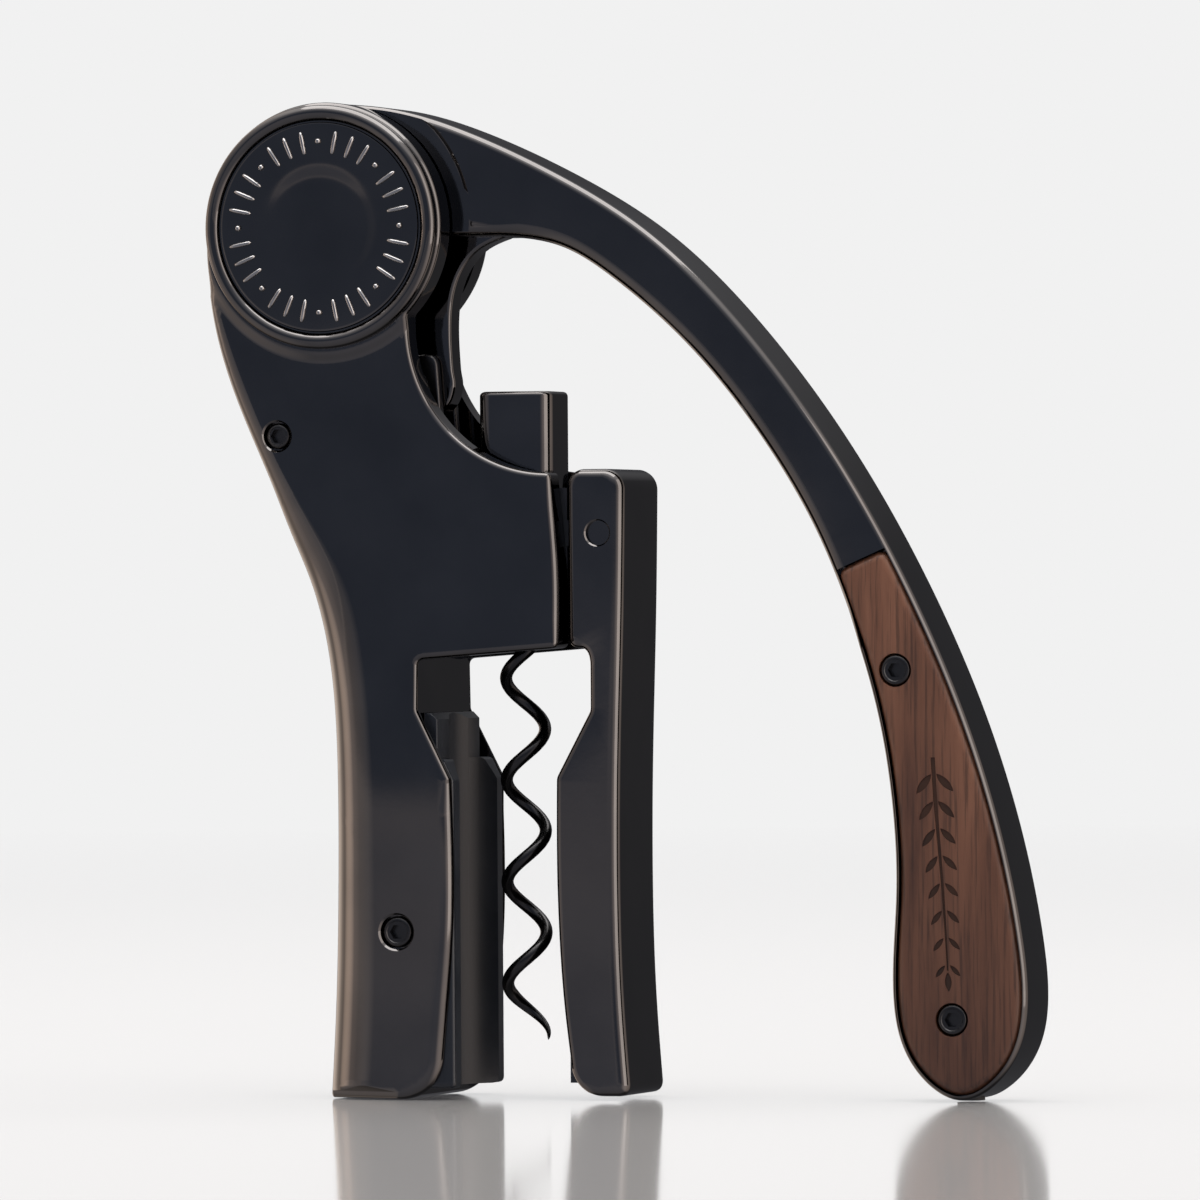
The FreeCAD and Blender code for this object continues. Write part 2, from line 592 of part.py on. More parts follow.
def screw(name, x, z, face, sunk, head, front):
    """A socket-head screw. Its head's top lies below the face, and its shank points inwards."""
    sign = "-" if front else ""
    rotation = ALONG_Y if front else ALONG_MINUS_Y
    place = ("worm_axis + (%s)" % x, "%s(%s - %s)" % (sign, face, sunk), z)
    cap = rod(name + "_head", place, head, "head_thick", rotation)
    shank = rod(name + "_shank", place, "screw_shank", "%s - %s - 1.5" % (face, sunk), rotation)
    socket = hexagon(name + "_socket", place, "socket_width", 1.4, rotation)
    return cut(name, fuse(name + "_solid", [cap, shank]), socket)


def insert(name, x, z, half):
    """A tapped pillar that the screws of both sides meet in."""
    place = ("worm_axis + (%s)" % x, "-" + half, z)
    pillar = rod(name + "_pillar", place, "insert_radius", "2 * " + half)
    hole = rod(name + "_hole", place, "screw_shank + slide_gap", "2 * " + half)
    return cut(name, pillar, hole)


def fasteners():
    body = [("upper", "-upper_screw_x", "upper_screw_z", "neck_depth", "small_head"),
            ("lower", "-lower_screw_x", "lower_screw_z", "grip_depth", "large_head")]
    handle = [("top", "top_scale_screw_x", "top_scale_screw_z", "arm_half", "large_head"),
              ("low", "low_scale_screw_x", "low_scale_screw_z", "arm_half", "large_head")]
    for title, rows, sunk in (("body", body, "head_sunk"), ("handle", handle, "scale_sunk")):
        for side in ("front", "rear"):
            name = side + "_" + title + "_screw_"
            screws = [screw(name + row[0], row[1], row[2], row[3], sunk, row[4], side == "front")
                      for row in rows]
            sub_part(group(side + "_" + title + "_screws", screws), side + "_" + title + "_screws")
    for title, rows, half in (("body", body, "insert_half"), ("handle", handle, "scale_insert_half")):
        pillars = [insert(title + "_insert_" + row[0], row[1], row[2], half) for row in rows]
        sub_part(group(title + "_inserts", pillars), title + "_inserts")


def ring_z(name, height, inner, outer, thick):
    """A flat ring round the worm's axis."""
    disc = rod(name + "_disc", ("worm_axis", 0, height), outer, thick, FreeCAD.Rotation())
    hole = rod(name + "_hole", ("worm_axis", 0, height), inner, thick, FreeCAD.Rotation())
    return sub_part(cut(name, disc, hole), name)


# ---------------------------------------------------------------- turned pieces

def hub_cap(label, rotation, sign):
    """A round cover with a raised rim, a groove inside it and a shallow dish."""
    profile = [(0, 0), ("cap_radius", 0), ("cap_radius", "cap_thick - 1.1"), ("cap_radius - 1.1", "cap_thick"),
               ("cap_radius - 2.4", "cap_thick"), ("cap_radius - 3.0", "cap_thick - 0.7"),
               ("cap_radius - 3.6", "cap_thick - 0.3"), ("cap_radius - 12", "cap_thick - 0.6"),
               (0, "cap_thick - 0.7")]
    return sub_part(turned_body(label, profile, (BACK_TO_HUB, sign + "neck_depth", "hub_height"), rotation),
                    label)


def shaft(label, place, radius, half):
    profile = [(0, 0), (radius, 0), (radius, "2 * " + half), (0, "2 * " + half)]
    return sub_part(turned_body(label, profile, (place[0], "-" + half, place[1]), ALONG_Y), label)


def hub_bush():
    profile = [("axle_radius + slide_gap", 0), ("bush_radius", 0), ("bush_radius", "2 * web_half"),
               ("axle_radius + slide_gap", "2 * web_half")]
    return sub_part(turned_body("hub_bush", profile, (BACK_TO_HUB, "-web_half", "hub_height"), ALONG_Y),
                    "hub_bush")


def link_stud(name, near):
    """The outer end of the crank pin, in the link's upper hole."""
    x = "worm_axis - hub_reach + crank_across"
    return rod(name, (x, near, "hub_height - crank_down"), "crank_pin_radius", "link_thick")


# ---------------------------------------------------------------- making every sub-part

front = front_shell()
freeform("front_shell", front)
freeform("rear_shell", mirrored(front))
hub_cap("front_hub_cap", ALONG_MINUS_Y, "-")
hub_cap("rear_hub_cap", ALONG_Y, "")
shaft("hub_axle", (BACK_TO_HUB, "hub_height"), "axle_radius", "(neck_depth - 0.1)")
guide_block()
ring_z("worm_nut", "block_height + 3", "nut_bore", "nut_radius", "nut_thick")
ring_z("nut_retainer", "block_height + 3 + nut_thick", "nut_bore + 0.4", "nut_radius", 1.2)
freeform("left_neck_liner", left_liner())

arm = lever_arm()
freeform("lever_arm", arm)
scale = front_scale()
freeform("front_walnut_scale", scale)
freeform("rear_walnut_scale", mirrored(scale))
hub_bush()
shaft("crank_pin", ("worm_axis - hub_reach + crank_across", "hub_height - crank_down"), "crank_pin_radius",
      "(web_half + 0.1)")
foot_x = "worm_axis + foot_x"
sub_part(rod("lever_foot", (foot_x, 0, 0.0), "foot_radius - slide_gap", "foot_thick", FreeCAD.Rotation()),
         "lever_foot")
fasteners()

carriage()
shaft("slider_pin", (SLIDER_X, SLIDER_Z), "slider_pin", "cheek_half")
ring_z("worm_collar", "head_height + 0.1", "shank_radius", "shank_radius + 1.6", 2.7)
link("front_link", "-link_inside - link_thick")
link("rear_link", "link_inside")
studs = group("link_studs", [link_stud("front_stud", "-link_inside - link_thick"),
                             link_stud("rear_stud", "link_inside")])
sub_part(studs, "link_studs")
freeform("worm", worm())
ring_z("thrust_washer", "carriage_foot - 0.9", "shank_radius + slide_gap", "nut_bore - 0.1", 0.8)

freeform("clamp_jaw", clamp_jaw())
shaft("clamp_pin", ("worm_axis + jaw_pin_x", "jaw_pin_z"), "jaw_pin_radius", "(jaw_depth - 1.1)")
freeform("clamp_liner", clamp_liner())

doc.recompute()

# ---------------------------------------------------------------- checking and writing

for obj in doc.Objects:
    if "Invalid" in obj.State or "Error" in obj.State:
        raise RuntimeError("%s failed: %s" % (obj.Label, obj.State))
for obj in sub_parts:
    if obj.Shape.isNull() or not obj.Shape.isValid() or obj.Shape.Volume < 0.1:
        raise RuntimeError("%s has no good shape" % obj.Label)

os.makedirs("parts", exist_ok=True)
box = FreeCAD.BoundBox()
for obj in sub_parts:
    obj.Shape.exportStep("parts/%s.step" % obj.Label)
    box.add(obj.Shape.BoundBox)
    print("%-22s %2d solid(s) %10.1f mm3" % (obj.Label, len(obj.Shape.Solids), obj.Shape.Volume))
print("%d sub-parts, X %.2f to %.2f, Y %.2f to %.2f, Z %.2f to %.2f"
      % (len(sub_parts), box.XMin, box.XMax, box.YMin, box.YMax, box.ZMin, box.ZMax))
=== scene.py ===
import json
import math

import bmesh
import bpy
import numpy as np
from mathutils import Matrix, Vector
from mathutils.geometry import delaunay_2d_cdt


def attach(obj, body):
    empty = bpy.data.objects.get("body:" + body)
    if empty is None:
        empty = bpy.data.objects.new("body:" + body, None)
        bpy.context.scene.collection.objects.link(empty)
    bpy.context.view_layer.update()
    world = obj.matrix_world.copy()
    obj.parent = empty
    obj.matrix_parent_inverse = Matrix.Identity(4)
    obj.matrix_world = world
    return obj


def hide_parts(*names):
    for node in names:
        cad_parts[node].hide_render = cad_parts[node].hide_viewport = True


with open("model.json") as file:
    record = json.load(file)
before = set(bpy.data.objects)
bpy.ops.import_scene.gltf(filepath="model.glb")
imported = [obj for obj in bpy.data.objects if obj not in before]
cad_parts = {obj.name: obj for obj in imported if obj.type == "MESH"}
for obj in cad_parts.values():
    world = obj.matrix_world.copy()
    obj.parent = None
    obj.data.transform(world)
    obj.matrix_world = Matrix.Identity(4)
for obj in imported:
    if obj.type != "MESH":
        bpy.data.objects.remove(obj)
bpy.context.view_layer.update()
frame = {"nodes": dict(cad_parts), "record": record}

MM = 0.001

# Places that the frame gives: the worm's axis and the hub's axis.
JOINTS = {joint["name"]: joint for joint in frame["record"]["behaviour"]["joints"]}
WORM_X = JOINTS["worm_spin"]["pos_m"][0]
HUB_X, _, HUB_Z = JOINTS["lever_hinge"]["pos_m"]


# ---------------- materials

def new_material(name):
    """A material with an empty tree but for its output and a Principled shader."""
    material = bpy.data.materials.new(name)
    material.use_nodes = True
    tree = material.node_tree
    return material, tree, tree.nodes["Principled BSDF"]


def link(tree, source, output, target, socket):
    tree.links.new(source.outputs[output], target.inputs[socket])


def object_coordinates(tree, scale=(1, 1, 1), turn=(0, 0, 0)):
    """The object's own coordinates in metres, scaled and turned."""
    place = tree.nodes.new("ShaderNodeTexCoord")
    mapping = tree.nodes.new("ShaderNodeMapping")
    mapping.inputs["Scale"].default_value = scale
    mapping.inputs["Rotation"].default_value = turn
    link(tree, place, "Object", mapping, "Vector")
    return mapping


def noise(tree, mapping, scale, detail=4, roughness=0.5):
    node = tree.nodes.new("ShaderNodeTexNoise")
    node.inputs["Scale"].default_value = scale
    node.inputs["Detail"].default_value = detail
    node.inputs["Roughness"].default_value = roughness
    link(tree, mapping, "Vector", node, "Vector")
    return node


def ramp(tree, source, output, stops):
    """A colour ramp whose stops are (place, colour)."""
    node = tree.nodes.new("ShaderNodeValToRGB")
    elements = node.color_ramp.elements
    while len(elements) < len(stops):
        elements.new(0.5)
    for element, (place, colour) in zip(elements, stops):
        element.position = place
        element.color = (*colour, 1)
    link(tree, source, output, node, "Fac")
    return node


def spread(tree, source, output, low, high):
    """Turns a value from 0 to 1 into one from low to high."""
    node = tree.nodes.new("ShaderNodeMapRange")
    node.inputs["To Min"].default_value = low
    node.inputs["To Max"].default_value = high
    link(tree, source, output, node, "Value")
    return node


def bump(tree, shader, source, output, strength, distance):
    node = tree.nodes.new("ShaderNodeBump")
    node.inputs["Strength"].default_value = strength
    node.inputs["Distance"].default_value = distance
    link(tree, source, output, node, "Height")
    link(tree, node, "Normal", shader, "Normal")
    return node


def mixed(tree, first, second, way, factor=1.0):
    """The output of a colour mix of two outputs."""
    node = tree.nodes.new("ShaderNodeMix")
    node.data_type = "RGBA"
    node.blend_type = way
    node.inputs["Factor"].default_value = factor
    tree.links.new(first, node.inputs["A"])
    tree.links.new(second, node.inputs["B"])
    return node.outputs["Result"]


def clouded(tree, shader, place, scale, dark, light, rough):
    """Colour and roughness that drift between two values over the surface."""
    clouds = noise(tree, place, scale)
    colour = ramp(tree, clouds, "Fac", [(0.3, dark), (0.7, light)])
    link(tree, colour, "Color", shader, "Base Color")
    gloss = spread(tree, clouds, "Fac", rough[0], rough[1])
    link(tree, gloss, "Result", shader, "Roughness")


def plated_metal(name, dark, light, rough, grain=900.0, depth=0.000004):
    """Plated or painted metal: cloudy colour, uneven gloss and a very fine skin."""
    material, tree, shader = new_material(name)
    shader.inputs["Metallic"].default_value = 1.0
    place = object_coordinates(tree)
    clouded(tree, shader, place, 60.0, dark, light, rough)
    skin = noise(tree, place, grain, detail=2)
    bump(tree, shader, skin, "Fac", 0.25, depth)
    return material


def moulded_plastic(name, dark, light, rough, grain=2600.0):
    """Black nylon or rubber with a fine spark-eroded grain."""
    material, tree, shader = new_material(name)
    shader.inputs["Metallic"].default_value = 0.0
    shader.inputs["IOR"].default_value = 1.49
    place = object_coordinates(tree)
    clouded(tree, shader, place, 90.0, dark, light, rough)
    pits = noise(tree, place, grain, detail=3)
    bump(tree, shader, pits, "Fac", 0.35, 0.00003)
    return material


GRAIN_TURN = (0, math.radians(-7), 0)
WOOD_COLOURS = [(0.28, (0.068, 0.024, 0.012)), (0.45, (0.135, 0.053, 0.027)),
                (0.60, (0.185, 0.077, 0.041)), (0.78, (0.25, 0.110, 0.062))]
PORE_MASK = [(0.36, (0.45, 0.45, 0.45)), (0.5, (1, 1, 1))]
# Painted shade on the walnut: its colour is multiplied by this ramp, about half as bright at the foot of the
# handle as at its top.
HANDLE_PAINTED_SHADE = [(0.0, (0.52, 0.50, 0.50)), (0.45, (0.80, 0.78, 0.77)), (1.0, (1, 1, 1))]
PAINTED_SHADE_TOP = 0.1


def walnut(name):
    """Oiled walnut: long streaks along the handle, fine dark pores, and painted shade that darkens it towards
    the foot.
    """
    material, tree, shader = new_material(name)
    bands = noise(tree, object_coordinates(tree, (1.0, 1.0, 0.11), GRAIN_TURN), 130.0, 6, 0.62)
    colour = ramp(tree, bands, "Fac", WOOD_COLOURS)
    pores = noise(tree, object_coordinates(tree, (1.0, 1.0, 0.035), GRAIN_TURN), 1500.0, 3, 0.6)
    pore_mask = ramp(tree, pores, "Fac", PORE_MASK)
    wood = mixed(tree, colour.outputs["Color"], pore_mask.outputs["Color"], "MULTIPLY", 0.85)
    whole = tree.nodes.new("ShaderNodeTexCoord")
    split = tree.nodes.new("ShaderNodeSeparateXYZ")
    link(tree, whole, "Object", split, "Vector")
    # Painted shade: the height up the handle sets how much the wood is darkened.
    height = spread(tree, split, "Z", 0.0, 1.0)
    height.inputs["From Max"].default_value = PAINTED_SHADE_TOP
    painted_shade = ramp(tree, height, "Result", HANDLE_PAINTED_SHADE)
    tree.links.new(mixed(tree, wood, painted_shade.outputs["Color"], "MULTIPLY"), shader.inputs["Base Color"])
    gloss = spread(tree, bands, "Fac", 0.52, 0.40)
    link(tree, gloss, "Result", shader, "Roughness")
    bump(tree, shader, pores, "Fac", 0.35, 0.00008)
    return material


# Each metal: name, darker and lighter colour, range of roughness, grain per metre, depth of the skin.
GUNMETAL = plated_metal("gunmetal_gloss", (0.098, 0.092, 0.090), (0.122, 0.113, 0.108), (0.055, 0.095))
# Painted highlight: a much lighter copy of the gunmetal for the cap's ribs, so that they reflect more light
# than the cap they stand on.
RIB_HIGHLIGHT_METAL = plated_metal("ribs_painted_highlight", (0.34, 0.33, 0.32), (0.42, 0.40, 0.39), (0.10, 0.16))
DARK_STEEL = plated_metal("black_oxide_steel", (0.05, 0.048, 0.048), (0.085, 0.08, 0.078), (0.22, 0.34),
                          1500.0)
SATIN = plated_metal("satin_casting", (0.06, 0.06, 0.062), (0.10, 0.10, 0.104), (0.30, 0.42), 1800.0, 0.00001)
STEEL = plated_metal("turned_steel", (0.50, 0.50, 0.51), (0.62, 0.61, 0.60), (0.20, 0.32), 1800.0, 0.000008)
BRONZE = plated_metal("bearing_bronze", (0.46, 0.28, 0.11), (0.60, 0.40, 0.18), (0.25, 0.38), 1500.0,
                      0.000008)
WORM_BLACK = plated_metal("coated_worm", (0.035, 0.034, 0.035), (0.06, 0.057, 0.056), (0.20, 0.30), 1300.0)
LINER = moulded_plastic("nylon_liner", (0.009, 0.011, 0.015), (0.015, 0.017, 0.022), (0.26, 0.36))
RUBBER = moulded_plastic("rubber_foot", (0.010, 0.010, 0.010), (0.022, 0.021, 0.020), (0.6, 0.75), 1800.0)
WALNUT = walnut("oiled_walnut")
BURNT_WOOD = moulded_plastic("burnt_engraving", (0.014, 0.005, 0.002), (0.036, 0.013, 0.006), (0.8, 0.95),
                             900.0)

FINISHES = {"gunmetal": GUNMETAL, "walnut": WALNUT, "liner": LINER, "worm_coating": WORM_BLACK,
            "nut_plastic": LINER, "satin_casting": SATIN, "steel": STEEL, "black_steel": DARK_STEEL,
            "bronze": BRONZE, "foot_rubber": RUBBER}
SLOTS = {part["node"]: part["material_slot"] for part in frame["record"]["subparts"]}
BODY_OF = {node: body for body, nodes in frame["record"]["behaviour"]["bodies"].items() for node in nodes}


def paint(obj, material):
    obj.data.materials.clear()
    obj.data.materials.append(material)


# ---------------- pieces and the nodes they stand for

def ride_with(piece, node):
    """A further piece of the same CAD node: its body, slot and material."""
    paint(piece, FINISHES[SLOTS[node]])
    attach(piece, BODY_OF[node])


def finish(piece, node):
    """A new piece that stands for a CAD node."""
    ride_with(piece, node)
    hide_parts(node)


for node_name, node_object in frame["nodes"].items():
    paint(node_object, FINISHES[SLOTS[node_name]])


# ---------------- outlines

# Outlines are lists of (x, z) in millimetres, x from the worm's axis. Those of the lever's own points
# start at the hub's axis, and hub_place brings them over.

def smooth(points, step=0.9):
    """Points along a natural cubic spline through the given ones."""
    given = np.array(points, float)
    count = len(given)
    chord = np.linalg.norm(np.diff(given, axis=0), axis=1)
    at = np.concatenate([[0], np.cumsum(chord)])
    matrix = np.eye(count)
    right = np.zeros((count, 2))
    for i in range(1, count - 1):
        matrix[i, i - 1] = chord[i - 1]
        matrix[i, i] = 2 * (chord[i - 1] + chord[i])
        matrix[i, i + 1] = chord[i]
        right[i] = 6 * ((given[i + 1] - given[i]) / chord[i] - (given[i] - given[i - 1]) / chord[i - 1])
    bend = np.linalg.solve(matrix, right)
    result = []
    for where in np.linspace(0, at[-1], max(2, round(at[-1] / step) + 1)):
        i = min(np.searchsorted(at, where, side="right") - 1, count - 2)
        a = (at[i + 1] - where) / chord[i]
        b = 1 - a
        lift = ((a ** 3 - a) * bend[i] + (b ** 3 - b) * bend[i + 1]) * chord[i] ** 2 / 6
        result.append(tuple(a * given[i] + b * given[i + 1] + lift))
    return result


def arc_through(start, middle, end, step=0.9):
    """Points along the circular arc from start through middle to end."""
    a, b, c = complex(*start), complex(*middle), complex(*end)
    w = (c - a) / (b - a)
    centre = (b - a) * (w - abs(w) ** 2) / (2j * w.imag) + a
    radius = abs(a - centre)
    first = math.atan2((a - centre).imag, (a - centre).real)
    turn = [math.remainder(math.atan2((p - centre).imag, (p - centre).real) - first, math.tau)
            for p in (b, c)]
    sweep = turn[1]
    if turn[0] * sweep < 0 or abs(turn[0]) > abs(sweep):
        sweep -= math.copysign(math.tau, sweep)
    count = max(2, round(abs(sweep) * radius / step) + 1)
    angles = [first + sweep * k / (count - 1) for k in range(count)]
    return [(centre.real + radius * math.cos(t), centre.imag + radius * math.sin(t)) for t in angles]


def arc(centre, radius, first, last, count):
    """Points along an arc about a centre, from the first angle to the last, in degrees."""
    return [(centre[0] + radius * math.cos(t), centre[1] + radius * math.sin(t))
            for t in np.linspace(math.radians(first), math.radians(last), count)]


def closed(*stretches):
    """One closed outline from stretches that meet, without repeated points, anticlockwise."""
    path = []
    for stretch in stretches:
        for point in stretch:
            if not path or math.dist(point, path[-1]) > 0.02:
                path.append(point)
    if math.dist(path[0], path[-1]) < 0.02:
        path.pop()
    twice_area = sum(a[0] * b[1] - b[0] * a[1] for a, b in zip(path, path[1:] + path[:1]))
    return path if twice_area > 0 else path[::-1]


def rounded(path, radius_at, sharp=20):
    """The outline with each corner sharper than some degrees turned into a short curve."""
    count = len(path)
    points = np.array(path)
    result = []
    before = np.roll(points, 1, axis=0)
    after = np.roll(points, -1, axis=0)
    heading_in = np.arctan2(*(points - before).T[::-1])
    heading_out = np.arctan2(*(after - points).T[::-1])
    turns = (heading_out - heading_in + math.pi) % math.tau - math.pi
    corners = {i for i in range(count) if abs(math.degrees(turns[i])) > sharp}
    drop = set()
    curves = {}
    for i in corners:
        radius = radius_at(path[i]) if callable(radius_at) else radius_at
        reach = radius * math.tan(abs(turns[i]) / 2)
        ends = []
        for way in (-1, 1):
            left = reach
            here = points[i]
            j = i
            while True:
                following = points[(j + way) % count]
                length = float(np.linalg.norm(following - here))
                if length > left or (j + way) % count in corners:
                    share = min(left / max(length, 1e-9), 0.49 if (j + way) % count in corners else 1.0)
                    ends.append(here + (following - here) * share)
                    break
                left -= length
                here = following
                j += way
                drop.add(j % count)
        ways = [np.array(ends[0]), points[i], np.array(ends[1])]
        curves[i] = [tuple((1 - s) ** 2 * ways[0] + 2 * s * (1 - s) * ways[1] + s ** 2 * ways[2])
                     for s in np.linspace(0, 1, max(4, round(abs(math.degrees(turns[i])) / 12) + 2))]
    for i in range(count):
        if i in curves:
            result.extend(curves[i])
        elif i not in drop:
            result.append(path[i])
    return [p for p, q in zip(result, result[1:] + result[:1]) if math.dist(p, q) > 0.01]


# ---------------- meshes

ROUND_STEPS = 6


def to_frame(points):
    """Millimetres from the worm's axis to metres in the frame."""
    return [Vector((WORM_X + x * MM, y * MM, z * MM)) for x, y, z in points]


def side_faces(rows, count):
    """Quads that join each ring of points to the next."""
    faces = []
    for k in range(rows - 1):
        for i in range(count):
            j = (i + 1) % count
            faces.append((k * count + i, k * count + j, (k + 1) * count + j, (k + 1) * count + i))
    return faces


def end_face(row, count, flipped=False):
    face = tuple(row * count + i for i in range(count))
    return face[::-1] if flipped else face


def mesh_object(name, points, faces, sharp=30):
    """An object of the given points and faces, in millimetres, with its doubles merged."""
    mesh = bpy.data.meshes.new(name)
    mesh.from_pydata(to_frame(points), [], faces)
    mesh.validate()
    work = bmesh.new()
    work.from_mesh(mesh)
    bmesh.ops.remove_doubles(work, verts=work.verts, dist=0.000001)
    bmesh.ops.recalc_face_normals(work, faces=work.faces)
    work.to_mesh(mesh)
    work.free()
    mesh.validate()
    piece = bpy.data.objects.new(name, mesh)
    bpy.context.collection.objects.link(piece)
    shade(piece, sharp)
    return piece


def shade(piece, sharp=30):
    piece.data.shade_smooth()
    piece.data.set_sharp_from_angle(angle=math.radians(sharp))


def weighted(piece):
    """Flat faces stay flat right up to their rounded edges."""
    shading = piece.modifiers.new("weighted_normals", "WEIGHTED_NORMAL")
    shading.keep_sharp = True
    shading.weight = 50
    return piece


def inward(path):
    """The unit vector at each point of an anticlockwise outline that points inside."""
    points = np.array(path)
    along = np.roll(points, -1, axis=0) - np.roll(points, 1, axis=0)
    along /= np.linalg.norm(along, axis=1)[:, None]
    return np.stack([-along[:, 1], along[:, 0]], axis=1)


def soften_run(values, reach=4):
    """Values along a closed outline, each averaged with its neighbours."""
    padded = np.concatenate([values[-reach:], values, values[:reach]])
    return np.convolve(padded, np.ones(2 * reach + 1) / (2 * reach + 1), "valid")


def round_edge(path, radius, flat, outwards):
    """Rings of points from the side of a plate, over its round edge, to its flat face."""
    points = np.array(path)
    radii = np.broadcast_to(np.array(radius, float), (len(path),))
    into = inward(path)
    rings = []
    for k in range(ROUND_STEPS + 1):
        angle = math.pi / 2 * k / ROUND_STEPS
        moved = points + into * (radii * (1 - math.cos(angle)))[:, None]
        level = flat - outwards * radii * (1 - math.sin(angle))
        rings.append([(p[0], y, p[1]) for p, y in zip(moved, level)])
    return rings


def flat_face(ring):
    """Points and triangles that fill a level ring, whose Y is the same all round."""
    flat = [Vector((p[0], p[2])) for p in ring]
    edges = [(i, (i + 1) % len(ring)) for i in range(len(ring))]
    made, _, triangles, _, _, _ = delaunay_2d_cdt(flat, edges, [], 1, 1e-6)
    return [(p.x, ring[0][1], p.y) for p in made], triangles


def rounded_plate(name, path, near, far, near_round, far_round=None):
    """A plate in the XZ plane from Y = near to Y = far, with round edges."""
    far_round = near_round if far_round is None else far_round
    rings = round_edge(path, near_round, near, -1)[::-1] + round_edge(path, far_round, far, 1)
    count = len(path)
    points = [p for ring in rings for p in ring]
    faces = side_faces(len(rings), count)
    for ring in (rings[0], rings[-1]):
        level, triangles = flat_face(ring)
        faces += [tuple(len(points) + i for i in triangle) for triangle in triangles]
        points += level
    return mesh_object(name, points, faces)


def turned(name, profile, centre, axis, count=96, sharp=30):
    """A profile of (radius, height) turned about an axis through the centre."""
    to_axis = Vector((0, 0, 1)).rotation_difference(Vector(axis)).to_matrix()
    points = []
    for radius, height in profile:
        for k in range(count):
            t = math.tau * k / count
            spot = to_axis @ Vector((radius * math.cos(t), radius * math.sin(t), height))
            points.append((centre[0] + spot.x, centre[1] + spot.y, centre[2] + spot.z))
    faces = side_faces(len(profile), count)
    if profile[0] != profile[-1]:
        faces += [end_face(0, count, True), end_face(len(profile) - 1, count)]
    return mesh_object(name, points, faces, sharp)


def carve(piece, cutters, way="DIFFERENCE"):
    """Cut other solids out of a piece, or join them to it, and throw the others away."""
    for cutter in cutters:
        step = piece.modifiers.new("cut", "BOOLEAN")
        step.operation = way
        step.solver = "EXACT"
        step.object = cutter
    bpy.context.view_layer.update()
    done = bpy.data.meshes.new_from_object(piece.evaluated_get(bpy.context.evaluated_depsgraph_get()))
    done.validate()
    piece.modifiers.clear()
    piece.data = done
    for cutter in cutters:
        bpy.data.objects.remove(cutter)
    shade(piece)
    return piece


def prism(path, near, far):
    """A plain sharp solid from Y = near to Y = far."""
    count = len(path)
    points = [(x, near, z) for x, z in path] + [(x, far, z) for x, z in path]
    faces = [(i, (i + 1) % count, (i + 1) % count + count, i + count) for i in range(count)]
    faces += [tuple(reversed(range(count))), tuple(range(count, 2 * count))]
    return mesh_object("cutter", points, faces)


def bore(place, radius, half):
    """A cutter along Y, through the middle plane, for a round hole at (x, z)."""
    return turned("cutter", [(radius, -half), (radius, half)], (place[0], 0, place[1]), (0, 1, 0), 48)


def upright_bore(radius, low, high, count):
    """A cutter round the worm's axis."""
    return turned("cutter", [(radius, low), (radius, high)], (0, 0, 0), (0, 0, 1), count)


def box(x, y, z):
    """A plain block between two values of X, of Y and of Z, used to cut or to join."""
    return prism([(x[0], z[0]), (x[1], z[0]), (x[1], z[1]), (x[0], z[1])], y[0], y[1])


def mirror_copy(piece, name):
    """The same piece on the other side of the middle plane."""
    twin = piece.copy()
    twin.data = piece.data.copy()
    twin.name = name
    bpy.context.collection.objects.link(twin)
    work = bmesh.new()
    work.from_mesh(twin.data)
    for vertex in work.verts:
        vertex.co.y = -vertex.co.y
    bmesh.ops.reverse_faces(work, faces=work.faces)
    work.to_mesh(twin.data)
    work.free()
    return twin


def filled(rings, seeds, height_at):
    """Triangles that fill the innermost ring over the seeds, every point at its own height."""
    ring = [(p[0], p[2]) for p in rings[-1]]
    polygon = np.array(ring)
    seeds = np.array(seeds)
    ends = np.roll(polygon, -1, axis=0)
    inside = np.zeros(len(seeds), bool)
    nearest = np.full(len(seeds), 1e9)
    for a, b in zip(polygon, ends):
        crosses = (a[1] > seeds[:, 1]) != (b[1] > seeds[:, 1])
        rise = b[1] - a[1] if abs(b[1] - a[1]) > 1e-12 else 1e-12
        inside ^= crosses & (seeds[:, 0] < (b[0] - a[0]) * (seeds[:, 1] - a[1]) / rise + a[0])
        share = np.clip(((seeds - a) @ (b - a)) / max(float((b - a) @ (b - a)), 1e-12), 0, 1)
        nearest = np.minimum(nearest, np.linalg.norm(seeds - (a + share[:, None] * (b - a)), axis=1))
    kept = seeds[inside & (nearest > 0.25)]
    flat = [Vector(p) for p in ring] + [Vector(p) for p in kept]
    edges = [(i, (i + 1) % len(ring)) for i in range(len(ring))]
    made, _, triangles, _, _, _ = delaunay_2d_cdt(flat, edges, [], 1, 1e-5)
    points = [(p.x, height_at(p.x, p.y), p.y) for p in made]
    return points, triangles


# ---------------- the two shells

# The shell's left flank at each height: height, X of the side, reach of its rounding along X and
# along Y, and depth of the face.
FLANK = [(0.0, -36.4, 11.0, 12.0, 16.3), (18.0, -35.4, 11.0, 12.0, 16.3), (40.0, -34.7, 10.5, 11.5, 16.3),
         (63.0, -34.6, 10.0, 11.0, 16.3), (80.0, -35.7, 9.5, 10.0, 15.7), (97.0, -39.8, 9.0, 8.0, 14.6),
         (105.0, -43.0, 7.4, 6.6, 14.1), (114.0, -46.4, 5.0, 5.4, 13.7), (131.0, -53.5, 3.8, 4.4, 13.4),
         (148.0, -57.6, 2.2, 2.8, 13.4), (161.8, -57.8, 0.6, 0.8, 13.4)]
FLANK_CURVES = [np.array(smooth([(row[0], row[k]) for row in FLANK], 0.5)) for k in range(1, 5)]
HUB = (HUB_X / MM - WORM_X / MM, HUB_Z / MM)
FLANK_TOP = FLANK[-1][0]
HUB_RADIUS = 23.2
CAP_SEAT = 13.4
SHELL_ROUND = 1.1
